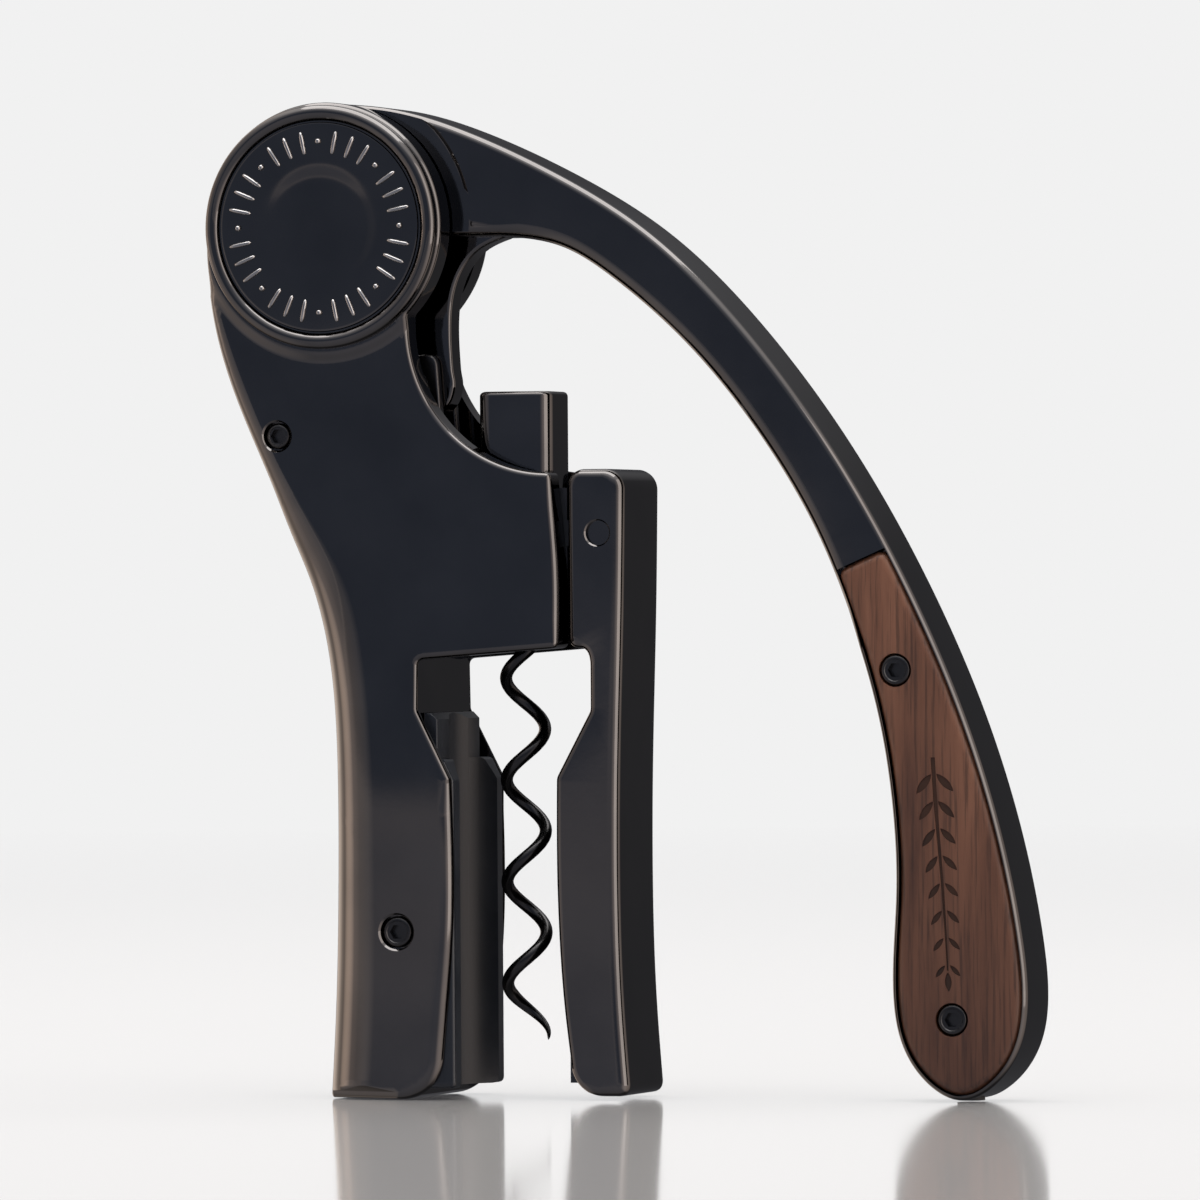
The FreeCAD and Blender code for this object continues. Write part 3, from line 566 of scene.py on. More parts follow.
GRIP_ROUND = 2.2
THROAT_ROUND = 1.7
FOOT_ROUND = 0.4


def flank(height):
    """X of the side, rounding along X and Y, and depth of the face, at a height."""
    return [float(np.interp(height, table[:, 0], table[:, 1])) for table in FLANK_CURVES]


def shell_height(x, z):
    """Y of the front shell's skin at a place seen from the front."""
    left, across, deep, depth = flank(min(max(z, 0), FLANK_TOP))
    from_hub = math.dist((x, z), HUB)
    if z > HUB[1]:
        across, deep, left = 0.6, 0.8, HUB[0] - math.sqrt(max(HUB_RADIUS ** 2 - (z - HUB[1]) ** 2, 0))
    inside = min(max((across - (x - left)) / across, 0), 1)
    y = depth - deep + deep * math.sqrt(1 - inside ** 2)
    return -y - bead(from_hub)


BEAD_RADIUS = 25.2
BEAD_REACH = 1.9
BEAD_HEIGHT = 0.7


def bead(from_hub):
    """The low step, with a soft slope, that the cap stands on."""
    inside = min(max((BEAD_RADIUS - from_hub) / BEAD_REACH, 0), 1)
    return BEAD_HEIGHT * (1 - math.cos(math.pi * inside)) / 2


def shell_outline():
    """The shell seen from the front: flank, hub, throat, window, grip and toe."""
    left = [(flank(z)[0], z) for z in np.linspace(0, FLANK_TOP, 170)]
    over = arc(HUB, HUB_RADIUS, 180, -45, 150)
    right = arc_through((-18.2, 142.6), (-10.4, 124.1), (9.5, 115.9))
    side = smooth([(9.5, 115.9), (9.9, 111.0), (11.0, 99.0), (11.3, 90.0), (11.3, 83.4)])
    window = [(11.3, 83.4), (-16.0, 81.4), (-16.0, 72.0), (-9.6, 59.3)]
    grip = smooth([(-9.6, 59.3), (-9.2, 42.0), (-9.5, 30.0), (-10.5, 18.0), (-11.4, 8.0)])
    toe = arc_through((-11.4, 8.0), (-14.2, 2.0), (-20.5, 0))
    path = closed(left, over, right, side, window, grip, toe)
    return rounded(path, 1.4)


def shell_seeds():
    """Points spread over the shell's face, closer together on its round flank and at the hub."""
    seeds = []
    for z in np.arange(0.5, 186, 1.0):
        left, across = flank(min(z, FLANK_TOP))[:2]
        seeds += [(left + across * (1 - math.cos(t)), z) for t in np.radians(np.arange(18, 91, 6))]
        seeds += [(x, z) for x in np.arange(left + across + 1.2, 12, 1.6)]
    bead_foot = BEAD_RADIUS - BEAD_REACH
    seeds = [p for p in seeds if not bead_foot - 0.6 < math.dist(p, HUB) < BEAD_RADIUS + 0.6]
    for radius in np.linspace(bead_foot - 0.2, BEAD_RADIUS + 0.2, 8):
        seeds += arc(HUB, radius, 0, 360, 261)[:-1]
    return seeds


def edge_round(x, z):
    """How far the edge is rounded at a place on the outline."""
    if x > -21 and z < 57:
        return GRIP_ROUND
    if x > 9 and 85 < z < 114:
        return THROAT_ROUND
    return FOOT_ROUND if z < 0.4 else SHELL_ROUND


def on_flank(x, z):
    """1 where the outline runs along the round flank, which needs no rounding of its own, or else 0."""
    return float(x < flank(min(max(z, 0), FLANK_TOP))[0] + 0.4 and -0.1 < z < 150)


def shell_skin(name):
    """The whole outside of the front shell, closed on the middle plane."""
    path = shell_outline()
    count = len(path)
    points = np.array(path)
    plain = 1 - np.array([on_flank(x, z) for x, z in path])
    into = inward(path)
    rounds = soften_run([edge_round(x, z) for x, z in path])
    rings = [[(x, 0.0, z) for x, z in path]]
    for k in range(ROUND_STEPS + 1):
        angle = math.pi / 2 * k / ROUND_STEPS
        moved = points + into * (rounds * (1 - math.cos(angle)))[:, None]
        drop = rounds * (1 - math.sin(angle)) * plain
        rings.append([(p[0], min(shell_height(*p) + d, -0.5), p[1]) for p, d in zip(moved, drop)])
    top, triangles = filled(rings, shell_seeds(), shell_height)
    verts = [p for ring in rings for p in ring]
    faces = [end_face(0, count)] + side_faces(len(rings), count)
    base = len(verts)
    faces += [tuple(base + i for i in triangle) for triangle in triangles]
    return mesh_object(name, verts + top, faces)


LOWER_SCREW = (-20.1, 31.0)
UPPER_SCREW = (-44.0, 123.1)
PAST = 3
HOLLOW_DEPTH = 8.4
THROAT_HALF = 14.6
HOLLOW = [(-18.6, 8), (-18.6, 84), (-15.9, 84), (-15.9, 76), (30, 76), (30, 200), (-70, 200), (-70, 138),
          (-50.3, 138), (-50.3, 131), (-43.3, 114), (-36.8, 97), (-32.6, 80), (-31.6, 63), (-31.6, 8)]
BOTTLE_ROOF = [(-16, 69), (20, 69), (20, 83.9), (-16, 81.3)]


def recess(place, radius, face, depth):
    """A round pocket with a small chamfer at its mouth, sunk from a face in front."""
    profile = [(radius, -depth), (radius, -0.35), (radius + 0.35, 0), (radius + 2.0, 1.65)]
    return turned("cutter", profile, (place[0], face, place[1]), (0, -1, 0), 48)


def shells():
    """The front shell, hollow and open to the bottle's space, and its mirror image behind."""
    piece = shell_skin("front_shell_finished")
    cutters = [prism(closed(HOLLOW), -HOLLOW_DEPTH, PAST), box((-16, 40), (-THROAT_HALF, PAST), (-1, 70)),
               prism(closed(BOTTLE_ROOF), -THROAT_HALF, PAST),
               recess(UPPER_SCREW, 2.7, -13.5, 2.9), recess(LOWER_SCREW, 3.2, -16.3, 2.9)]
    carve(piece, cutters)
    weighted(piece)
    finish(piece, "front_shell")
    rear = mirror_copy(piece, "rear_shell_finished")
    finish(rear, "rear_shell")


# ---------------- the lever

ARM_TOP = [(0, 23.2), (10.5, 22.2), (25.5, 17.8), (42.0, 10.3), (60.6, -1.0), (78.4, -17.9), (95.6, -40.3),
           (111.6, -68.0), (121.4, -90.2), (128.4, -112.2), (132.4, -132.0), (133.3, -142.0)]
ARM_FOOT = [(133.3, -142.0), (132.2, -150.6), (127.4, -158.3), (120.4, -161.6), (113.8, -158.3),
            (109.0, -150.7), (107.6, -142.0)]
ARM_UNDERSIDE = [(107.6, -142.0), (108.3, -124.0), (107.6, -106.7), (104.9, -90.2), (100.0, -73.7),
                 (93.2, -57.1), (83.2, -40.4), (69.6, -23.6), (53.8, -9.8), (43.6, -3.9), (32.5, -2.0)]
TAIL = [(32.5, -2.0), (26.6, -4.6), (22.8, -9.6), (21.3, -17.0), (21.6, -26.5)]
CRANK = (15.2, -29.3)
TAIL_END = 6.8
ARM_HALF = 8.0
WEB_HALF = 2.9
WEB_DISC = 10.5
FAN_RADIUS = 22.6
FAN_HALF = 2.88
ROOT_INSIDE = 13.6
ROOT_CORNER = 1.9
TOP_ROUND = 1.5
UNDER_ROUND = 2.6
CORE_HALF = 5.0
FAR = 20
INSERT_HOLE = 2.85
# The step beside the cap, as radius from the hub and height from the middle plane.
CAP_STEP = [(12, 7.65), (26.6, 7.65), (27.4, 8.0), (29, 9.5), (12, 9.5), (12, 7.65)]


def hub_place(points):
    return [(HUB[0] + x, HUB[1] + z) for x, z in points]


def lever_edge():
    """Top, foot and underside of the lever as one smooth line."""
    return smooth(hub_place(ARM_TOP + ARM_FOOT[1:] + ARM_UNDERSIDE[1:]))


def lever_arm():
    """The arm with its root between the caps, and the thin webs that run between the shells."""
    path = rounded(closed(lever_edge(), arc(HUB, ROOT_INSIDE, -8.5, 90, 30)), ROOT_CORNER)
    radii = []
    for x, z in path:
        local = (x - HUB[0], z - HUB[1])
        under = min(math.dist(local, q) for q in UNDER_POINTS)
        radii.append(UNDER_ROUND if under < 0.6 and local[1] > -75 else TOP_ROUND)
    arm = rounded_plate("lever_arm_finished", path, -ARM_HALF, ARM_HALF, soften_run(radii))
    pockets = []
    for near, far in ((-FAR, -CORE_HALF), (CORE_HALF, FAR)):
        pockets.append(prism(scale_outline(SCALE_MARGIN), near, far))
    for place in SCALE_SCREWS:
        pockets.append(bore(place, INSERT_HOLE, FAR))
    for sign in (-1, 1):
        pockets.append(turned("cutter", CAP_STEP, (HUB[0], 0, HUB[1]), (0, sign, 0), 120))
    carve(arm, pockets)
    weighted(arm)
    finish(arm, "lever_arm")
    crank = hub_place([CRANK])[0]
    tail_path = closed(smooth(hub_place(TAIL)), arc(crank, TAIL_END, 15, -148, 30), hub_place([(-9.0, -5.4)]),
                       arc(HUB, WEB_DISC, 211, 95, 24), hub_place([(12.0, 16.0), (30.0, 8.0)]))
    tail = rounded_plate("lever_tail", rounded(tail_path, 1.0), -WEB_HALF, WEB_HALF, 0.8)
    weighted(tail)
    ride_with(tail, "lever_arm")
    fan_path = closed(arc(HUB, FAN_RADIUS, 60, 140, 50), hub_place([(0, 5)]))
    fan = rounded_plate("lever_disc", rounded(fan_path, 0.8), -FAN_HALF, FAN_HALF, 0.6)
    weighted(fan)
    ride_with(fan, "lever_arm")


UNDER_POINTS = smooth(ARM_UNDERSIDE, 0.4)
SCALE_MARGIN = 0.8
SCALE_SCREWS = [(74.1, 79.0), (84.5, 15.0)]
HANDLE_TOP = [(50.0, 92.35), (90.0, 109.65)]


def scale_outline(margin):
    """The walnut's outline: the lever's own, inside it by a margin, and cut straight at its top."""
    points = smooth(hub_place(ARM_TOP[5:] + ARM_FOOT[1:] + ARM_UNDERSIDE[1:7]))
    path = np.array(points)
    along = np.gradient(path, axis=0)
    along /= np.linalg.norm(along, axis=1)[:, None]
    inner = path + margin * np.stack([along[:, 1], -along[:, 0]], axis=1)
    (x1, z1), (x2, z2) = HANDLE_TOP
    line_at = z1 + (inner[:, 0] - x1) * (z2 - z1) / (x2 - x1)
    return closed([tuple(p) for p, limit in zip(inner, line_at) if p[1] < limit - 0.05 - margin * 0.1])


STEM = [(81.2, 63.0), (81.9, 52.0), (82.8, 41.0), (83.4, 32.0), (83.8, 24.0)]
FIRST_LEAF = 4.8
LEAF_SHRINK = 2.0
LEAF_SPREAD = math.radians(42)
ENGRAVED_DEPTH = 0.3
SCALE_GAP = 0.12
SCALE_CORNER = 2.2
SCALE_ROUND = 1.7
SCREW_HOLE = 3.1


def leaf(foot, heading, length, width):
    """A pointed leaf that starts at its foot and points along the heading."""
    outline = []
    for way in (1, -1):
        for share in np.linspace(0, 1, 9)[:-1]:
            along = length * (share if way > 0 else 1 - share)
            across = way * width / 2 * math.sin(math.pi * share) ** 0.8
            outline.append((foot[0] + along * math.cos(heading) - across * math.sin(heading),
                            foot[1] + along * math.sin(heading) + across * math.cos(heading)))
    return closed(outline)


def sprig():
    """Outlines of a plain ornament: a curved stem with leaves in pairs that get smaller."""
    stem = np.array(smooth(STEM, 1.0))
    along = np.gradient(stem, axis=0)
    along /= np.linalg.norm(along, axis=1)[:, None]
    across = np.stack([-along[:, 1], along[:, 0]], axis=1)
    taper = np.linspace(0.42, 0.16, len(stem))[:, None]
    outlines = [closed([tuple(p) for p in stem + across * taper],
                       [tuple(p) for p in (stem - across * taper)[::-1]])]
    for k in range(3, len(stem) - 1, 5):
        heading = math.atan2(along[k][1], along[k][0])
        length = FIRST_LEAF - LEAF_SHRINK * k / len(stem)
        for way in (-1, 1):
            foot = stem[k] + across[k] * way * 0.45
            outlines.append(leaf(foot, heading + way * LEAF_SPREAD, length, length * 0.32))
    heading = math.atan2(along[-1][1], along[-1][0])
    outlines.append(leaf(stem[-1] + along[-1] * 0.3, heading, 3.6, 1.3))
    return outlines


def walnut_scales():
    """Both scales with their screw holes, and the engraving in the front one."""
    path = rounded(scale_outline(SCALE_MARGIN + SCALE_GAP), SCALE_CORNER)
    front = rounded_plate("front_walnut_finished", path, -ARM_HALF, -CORE_HALF, SCALE_ROUND, 0.05)
    hole = [(SCREW_HOLE, -2.5), (SCREW_HOLE, 2)]
    holes = [turned("cutter", hole, (place[0], -ARM_HALF, place[1]), (0, -1, 0), 64)
             for place in SCALE_SCREWS]
    rear = mirror_copy(front, "rear_walnut_finished")
    mirrored_holes = [mirror_copy(hole, "cutter") for hole in holes]
    outlines = sprig()
    engraving = [prism(outline, -ARM_HALF - 1, -ARM_HALF + ENGRAVED_DEPTH) for outline in outlines]
    carve(front, holes + engraving)
    weighted(front)
    finish(front, "front_walnut_scale")
    for k, outline in enumerate(outlines):
        burnt = prism(outline, -ARM_HALF + ENGRAVED_DEPTH / 2, -ARM_HALF + 2 * ENGRAVED_DEPTH)
        burnt.name = "engraving_%02d" % (k + 1)
        ride_with(burnt, "front_walnut_scale")
        paint(burnt, BURNT_WOOD)
    carve(rear, mirrored_holes)
    weighted(rear)
    finish(rear, "rear_walnut_scale")


# ---------------- hub caps

CAP_RADIUS = 22.8
CAP_THICK = 2.8
CAP_RIBS = 32
DISH_EDGE = 12.5
DISH_SLOPE = 4.0
BAND_HEIGHT = CAP_THICK - 0.5
DISH_HEIGHT = CAP_THICK - 0.65
GROOVE_HEIGHT = CAP_THICK - 0.9
RIM_MIDDLE = 21.25
RIM_ROUND = 1.4
LONG_RIB = (13.6, 18.1, 0.46)
SHORT_RIB = (15.4, 16.4, 0.62)


def hub_cap(node, sign):
    """A thick round rim, a groove, a flat band with short ribs on it and a shallow dish."""
    profile = [(0.01, DISH_HEIGHT)]
    for radius in np.linspace(1, DISH_EDGE, 14):
        up_slope = min(max((radius - DISH_EDGE + DISH_SLOPE) / DISH_SLOPE, 0), 1)
        rise = (1 - math.cos(math.pi * up_slope)) / 2
        profile.append((radius, DISH_HEIGHT + (BAND_HEIGHT - DISH_HEIGHT) * rise))
    profile += [(19.0, BAND_HEIGHT), (19.35, BAND_HEIGHT - 0.08), (19.5, GROOVE_HEIGHT),
                (19.75, GROOVE_HEIGHT), (19.95, GROOVE_HEIGHT + 0.45)]
    profile += arc((RIM_MIDDLE, CAP_THICK - RIM_ROUND), RIM_ROUND, 150, 0, 11)
    profile += [(CAP_RADIUS - 0.15, 0.6), (CAP_RADIUS, 0.3), (CAP_RADIUS, 0)]
    cap = turned(node + "_finished", profile[::-1], (HUB[0], sign * CAP_SEAT, HUB[1]), (0, sign, 0), 144, 40)
    weighted(cap)
    finish(cap, node)
    for k in range(CAP_RIBS):
        angle = math.tau * k / CAP_RIBS
        inner, outer, rib_radius = SHORT_RIB if k % 4 == 0 else LONG_RIB
        rib = cap_rib(node + "_rib_%02d" % (k + 1), inner, outer, rib_radius, angle, sign)
        ride_with(rib, node)
        # The ribs are painted with the lighter metal, a painted highlight.
        paint(rib, RIB_HIGHLIGHT_METAL)


def cap_rib(name, inner, outer, radius, angle, sign):
    """A low bead, round on top and at both ends, lying along a radius of the cap."""
    rows = 7
    around = 9
    base = CAP_SEAT + CAP_THICK - 0.55
    points = []
    for r in range(rows):
        t = math.pi * r / (rows - 1)
        along = (inner + outer) / 2 - math.cos(t) * (outer - inner) / 2
        wide = radius * math.sin(t) ** 0.4 if 0 < r < rows - 1 else 0.02
        for q in range(around):
            s = math.pi * q / (around - 1)
            side = wide * math.cos(s)
            lift = wide * math.sin(s) * 1.35
            x = HUB[0] + along * math.cos(angle) - side * math.sin(angle)
            z = HUB[1] + along * math.sin(angle) + side * math.cos(angle)
            points.append((x, sign * (base + lift), z))
    faces = side_faces(rows, around) + [end_face(0, around), end_face(rows - 1, around, True)]
    return mesh_object(name, points, faces, 60)


# ---------------- clamp

JAW_HALF = 11.5
JAW_INSIDE = 9.0
JAW_PIN = (18.0, 104.6)
NECK_ROOM = 14.5


def jaw_outline():
    """The jaw seen from the front: hinge block, long back, foot and the face towards the bottle."""
    outer = [(12.1, 83.4), (12.1, 113.2)] + arc_through((12.1, 113.2), (12.9, 115.4), (15.0, 116.4), 0.5)
    outer += [(19.2, 116.4)] + arc_through((19.2, 116.4), (21.8, 115.3), (22.9, 112.6), 0.5)
    outer += smooth([(22.9, 112.6), (22.5, 90.0), (21.7, 62.4), (21.5, 40.0), (22.1, 18.0), (23.2, 2.6)])
    outer += [(23.2, 0.6), (18.2, 0.6)] + arc_through((18.2, 0.6), (13.9, 2.3), (12.0, 6.6), 0.5)
    outer += smooth([(12.0, 6.6), (10.8, 16.5), (9.8, 30.4), (9.4, 44.2), (9.5, 59.4)])
    outer += [(16.2, 71.8), (16.2, 83.4)]
    return rounded(closed(outer), lambda p: 3.4 if p[0] > 15 and p[1] > 80 else 2.2)


def clamp_jaw():
    """A channel with a round back edge, open towards the bottle, with its pin's recess on both sides."""
    path = jaw_outline()
    radii = soften_run([2.1 if x > 17.5 else 1.3 for x, z in path])
    jaw = rounded_plate("clamp_jaw_finished", path, -JAW_HALF, JAW_HALF, radii)
    inner = [(-5, -5), (-5, 114.0), (20.6, 114.0)]
    inner += smooth([(20.6, 114.0), (20.5, 90.0), (19.7, 62.4), (19.5, 40.0), (20.1, 18.0), (21.2, -5.0)])
    cutters = [prism(closed(inner), -JAW_INSIDE, JAW_INSIDE), upright_bore(NECK_ROOM, -5, 70, 120)]
    for sign in (-1, 1):
        cutters.append(turned("cutter", [(2.3, -1.0), (2.3, -0.25), (2.55, 0), (3.5, 0.95)],
                              (JAW_PIN[0], sign * JAW_HALF, JAW_PIN[1]), (0, sign, 0), 48))
    carve(jaw, cutters)
    weighted(jaw)
    finish(jaw, "clamp_jaw")


# ---------------- carriage

def upright(name, half_x, half_y, low, high, corner_round, top_round):
    """A block standing on the worm's axis, with round upright edges and round top edges."""
    outline = []
    for cx, cy, first in ((1, 1, 0), (-1, 1, 90), (-1, -1, 180), (1, -1, 270)):
        corner = (cx * (half_x - corner_round), cy * (half_y - corner_round))
        outline += arc(corner, corner_round, first, first + 90, 8)
    count = len(outline)
    into = inward(outline)
    rings = [[(x, y, low) for x, y in outline]]
    for k in range(ROUND_STEPS + 1):
        t = math.pi / 2 * k / ROUND_STEPS
        shift = top_round * (1 - math.cos(t))
        rings.append([(p[0] + n[0] * shift, p[1] + n[1] * shift, high - top_round * (1 - math.sin(t)))
                      for p, n in zip(outline, into)])
    points = [p for ring in rings for p in ring]
    faces = side_faces(len(rings), count) + [end_face(0, count, True), end_face(len(rings) - 1, count)]
    return mesh_object(name, points, faces)


POST = {"half_x": 7.2, "half_y": 6.9, "low": 96.0, "high": 131.0, "corner_round": 2.9, "top_round": 0.9}
YOKE_HALF = 8.1
RIB_HALF = 9.2
YOKE_GAP = 5.7
FOOT_LEVEL = 94.2
YOKE_LEVEL = 88
YOKE_TOP = 104
RIB_TOP = 112
SHANK_HOLE = 2.95


def both_ways(half):
    return (-half, half)


def carriage():
    """The post with its round edges, open to the hub, on the yoke that holds the links."""
    post = upright("carriage_finished", **POST)
    cheek, gap = both_ways(YOKE_HALF), both_ways(YOKE_GAP)
    foot = box((-9.3, POST["half_x"]), both_ways(POST["half_y"]), (FOOT_LEVEL, YOKE_TOP))
    cheeks = box((-24, -9.3), cheek, (YOKE_LEVEL, YOKE_TOP))
    left = box((-24, -19), cheek, (YOKE_TOP - 1, RIB_TOP))
    joint = box((-9.4, -7.1), cheek, (FOOT_LEVEL, YOKE_TOP))
    ribs = box((-23.5, -20.5), both_ways(RIB_HALF), (YOKE_LEVEL, RIB_TOP))
    carve(post, [foot, cheeks, left, joint, ribs], "UNION")
    holes = [box((-30, -9.3), gap, (89.7, 120)), box((-9.4, -7.0), gap, (98, 118)),
             box((-10, 5.5), gap, (YOKE_TOP, 144)), upright_bore(SHANK_HOLE, 90, 110, 64)]
    carve(post, holes)
    weighted(post)
    finish(post, "carriage")


# ---------------- links

LINK_LENGTH = 38.0
LINK_HALF = 4.5
LINK_TOP = 43.5
LINK_THICK = 2.2
STUD_HOLE = 2.5
SLIDER_HOLE = 2.25


def links():
    """Two flat bars with round edges, round at the carriage and blunt at the crank."""
    lower = (-16.6, JOINTS["link_hinge"]["pos_m"][2] / MM)
    lean = math.asin((18.0 - 15.2) / LINK_LENGTH)
    bar = closed(arc((0, 0), LINK_HALF, 180, 360, 24), [(LINK_HALF, LINK_TOP), (-LINK_HALF, LINK_TOP)])
    path = []
    for x, z in rounded(bar, 2.5):
        path.append((lower[0] + x * math.cos(lean) - z * math.sin(lean),
                     lower[1] + x * math.sin(lean) + z * math.cos(lean)))
    upper = (lower[0] - LINK_LENGTH * math.sin(lean), lower[1] + LINK_LENGTH * math.cos(lean))
    for node, near in (("front_link", -5.4), ("rear_link", 3.2)):
        plate = rounded_plate(node + "_finished", path, near, near + LINK_THICK, 0.5)
        carve(plate, [bore(upper, STUD_HOLE, 10), bore(lower, SLIDER_HOLE, 10)])
        weighted(plate)
        finish(plate, node)


# ---------------- worm

WORM_PITCH = 18.9
WIRE_RADIUS = 1.15
HELIX_RADIUS = 4.75 - WIRE_RADIUS
WORM_TIP = 10.6
WORM_TOP = 91.0
# The wire points this way, in radians, at this height.
WIRE_DIRECTION = math.radians(18.3)
WIRE_HEIGHT = 68.3
POINT_LENGTH = 9.0
SHANK_PROFILE = [(0.01, 89.5), (4.4, 89.5), (4.75, 89.8), (4.75, 92.2), (4.5, 92.5), (2.9, 92.5),
                 (2.9, 106.5), (2.6, 106.8), (0.01, 106.8)]


def worm():
    """A right-handed helix of round wire, tapering to a point, below a shoulder and a shank."""
    steps = 300
    around = 20
    points = []
    for z in np.linspace(WORM_TIP, WORM_TOP, steps + 1):
        t = WIRE_DIRECTION + math.tau * (z - WIRE_HEIGHT) / WORM_PITCH
        out = Vector((math.cos(t), math.sin(t), 0))
        side = Vector((-math.sin(t), math.cos(t), 0))
        along = (side * HELIX_RADIUS + Vector((0, 0, WORM_PITCH / math.tau))).normalized()
        up = along.cross(out)
        thick = WIRE_RADIUS * min(1.0, 0.06 + ((z - WORM_TIP) / POINT_LENGTH) ** 0.6)
        middle = out * (HELIX_RADIUS + (WIRE_RADIUS - thick) * 0.4) + Vector((0, 0, z))
        for q in range(around):
            s = math.tau * q / around
            points.append(tuple(middle + out * thick * math.cos(s) + up * thick * math.sin(s)))
    faces = side_faces(steps + 1, around) + [end_face(0, around, True), end_face(steps, around)]
    helix = mesh_object("worm_finished", points, faces, 60)
    finish(helix, "worm")
    ride_with(turned("worm_shank", SHANK_PROFILE, (0, 0, 0), (0, 0, 1), 64), "worm")


# ---------------- screws

HEAD_HEIGHT = 2.4
HEAD_ROUND = 0.7
SOCKET_RADIUS = 1.45
SHANK_RADIUS = 1.6


def screw_head(name, place, face, sign, radius, sunk):
    """A low domed head with a hexagon socket."""
    top = HEAD_HEIGHT
    profile = [(0.01, 0), (radius, 0), (radius, top - 0.75)]
    profile += arc((radius - HEAD_ROUND, top - HEAD_ROUND), HEAD_ROUND, 10, 90, 6)
    profile += [(radius * 0.72, top), (radius * 0.68, top - 0.12), (0.01, top - 0.12)]
    base = (place[0], sign * (face - sunk - top), place[1])
    head = turned(name, profile, base, (0, sign, 0), 48)
    hexagon = turned("cutter", [(SOCKET_RADIUS, 1.0), (SOCKET_RADIUS, 4.0)], base, (0, sign, 0), 6)
    carve(head, [hexagon])
    weighted(head)
    return head


def screws():
    """The screws of both sides. The first head of each set stands for the CAD node."""
    # Each row is the screw's place, the height of the face that it is sunk in, and its head's radius.
    sets = [("body_screws", [(UPPER_SCREW, 13.4, 2.4), (LOWER_SCREW, 16.3, 2.9)], 0.5),
            ("handle_screws", [(place, ARM_HALF, 2.9) for place in SCALE_SCREWS], 0.1)]
    for side, sign in (("front", -1), ("rear", 1)):
        for title, rows, sunk in sets:
            node = side + "_" + title
            for k, (place, face, radius) in enumerate(rows):
                head = screw_head("%s_head_%d" % (node, k + 1), place, face, sign, radius, sunk)
                if k == 0:
                    finish(head, node)
                else:
                    ride_with(head, node)
                under_head = face - sunk - HEAD_HEIGHT
                profile = [(0.01, 1.6), (SHANK_RADIUS, 1.6), (SHANK_RADIUS, under_head), (0.01, under_head)]
                shank = turned("%s_shank_%d" % (node, k + 1), profile, (place[0], 0, place[1]),
                               (0, sign, 0), 32)
                ride_with(shank, node)


# ---------------- liner

LINER_HALF = 14.4
LINER_STEP_HALF = 12.2
NECK_RADIUS = 14.3


def left_liner():
    """The grip's liner, with its stepped top, hollowed for the bottle's neck."""
    low = closed([(-15.9, 2.0), (-9.4, 2.0), (-9.4, 59.0), (-11.4, 63.0), (-15.9, 63.0)])
    left = rounded_plate("left_liner_finished", rounded(low, 1.2), -LINER_HALF, LINER_HALF, 0.9)
    high = closed([(-15.9, 55.0), (-13.2, 55.0), (-13.2, 70.3), (-14.4, 71.5), (-15.9, 71.5)])
    step = rounded_plate("left_liner_step", high, -LINER_STEP_HALF, LINER_STEP_HALF, 0.35)
    carve(left, [step], "UNION")
    carve(left, [upright_bore(NECK_RADIUS, -5, 90, 120)])
    weighted(left)
    finish(left, "left_neck_liner")


shells()
lever_arm()
walnut_scales()
hub_cap("front_hub_cap", -1)
hub_cap("rear_hub_cap", 1)
clamp_jaw()
carriage()
links()
worm()
screws()
left_liner()


# ---------------- floor, backdrop, light and camera

def floor_material():
    """White acrylic that dissolves into the backdrop some way out."""
    material, tree, shader = new_material("white_acrylic")
    shader.inputs["Roughness"].default_value = 0.10
    shader.inputs["IOR"].default_value = 1.5
    place = object_coordinates(tree)
    clouds = noise(tree, place, 1.2, detail=2)
    colour = ramp(tree, clouds, "Fac", [(0.3, (0.35, 0.338, 0.328)), (0.7, (0.365, 0.352, 0.342))])
    link(tree, colour, "Color", shader, "Base Color")
    near = object_coordinates(tree, (1 / FLOOR_REACH, 1 / FLOOR_REACH, 1))
    ball = tree.nodes.new("ShaderNodeTexGradient")
    ball.gradient_type = "SPHERICAL"
    link(tree, near, "Vector", ball, "Vector")
    solid = ramp(tree, ball, "Fac", [(0.0, BLACK), (0.75, WHITE)])
    link(tree, solid, "Color", shader, "Alpha")
    return material


def backdrop_material(name, strength, clear_too):
    """Gives out light, and may let through what is behind it."""
    material, tree, shader = new_material(name)
    tree.nodes.remove(shader)
    glow = tree.nodes.new("ShaderNodeEmission")
    glow.inputs["Color"].default_value = (1.0, 1.0, 1.0, 1)
    glow.inputs["Strength"].default_value = strength
    surface = glow.outputs[0]
    if clear_too:
        clear = tree.nodes.new("ShaderNodeBsdfTransparent")
        both = tree.nodes.new("ShaderNodeAddShader")
        tree.links.new(surface, both.inputs[0])
        tree.links.new(clear.outputs[0], both.inputs[1])
        surface = both.outputs[0]
    tree.links.new(surface, tree.nodes["Material Output"].inputs["Surface"])
    return material


BLACK = (0, 0, 0)
WARM_SIDE = (0.95, 0.82, 0.74)
DIM_SIDE = (0.22, 0.19, 0.175)
NAVY = (0.15, 0.18, 0.25)
UNDER = (0.35, 0.30, 0.26)
WHITE = (1, 1, 1)
BROWN_SIDE = (0.34, 0.28, 0.23)
TAN_SIDE = (0.80, 0.64, 0.52)
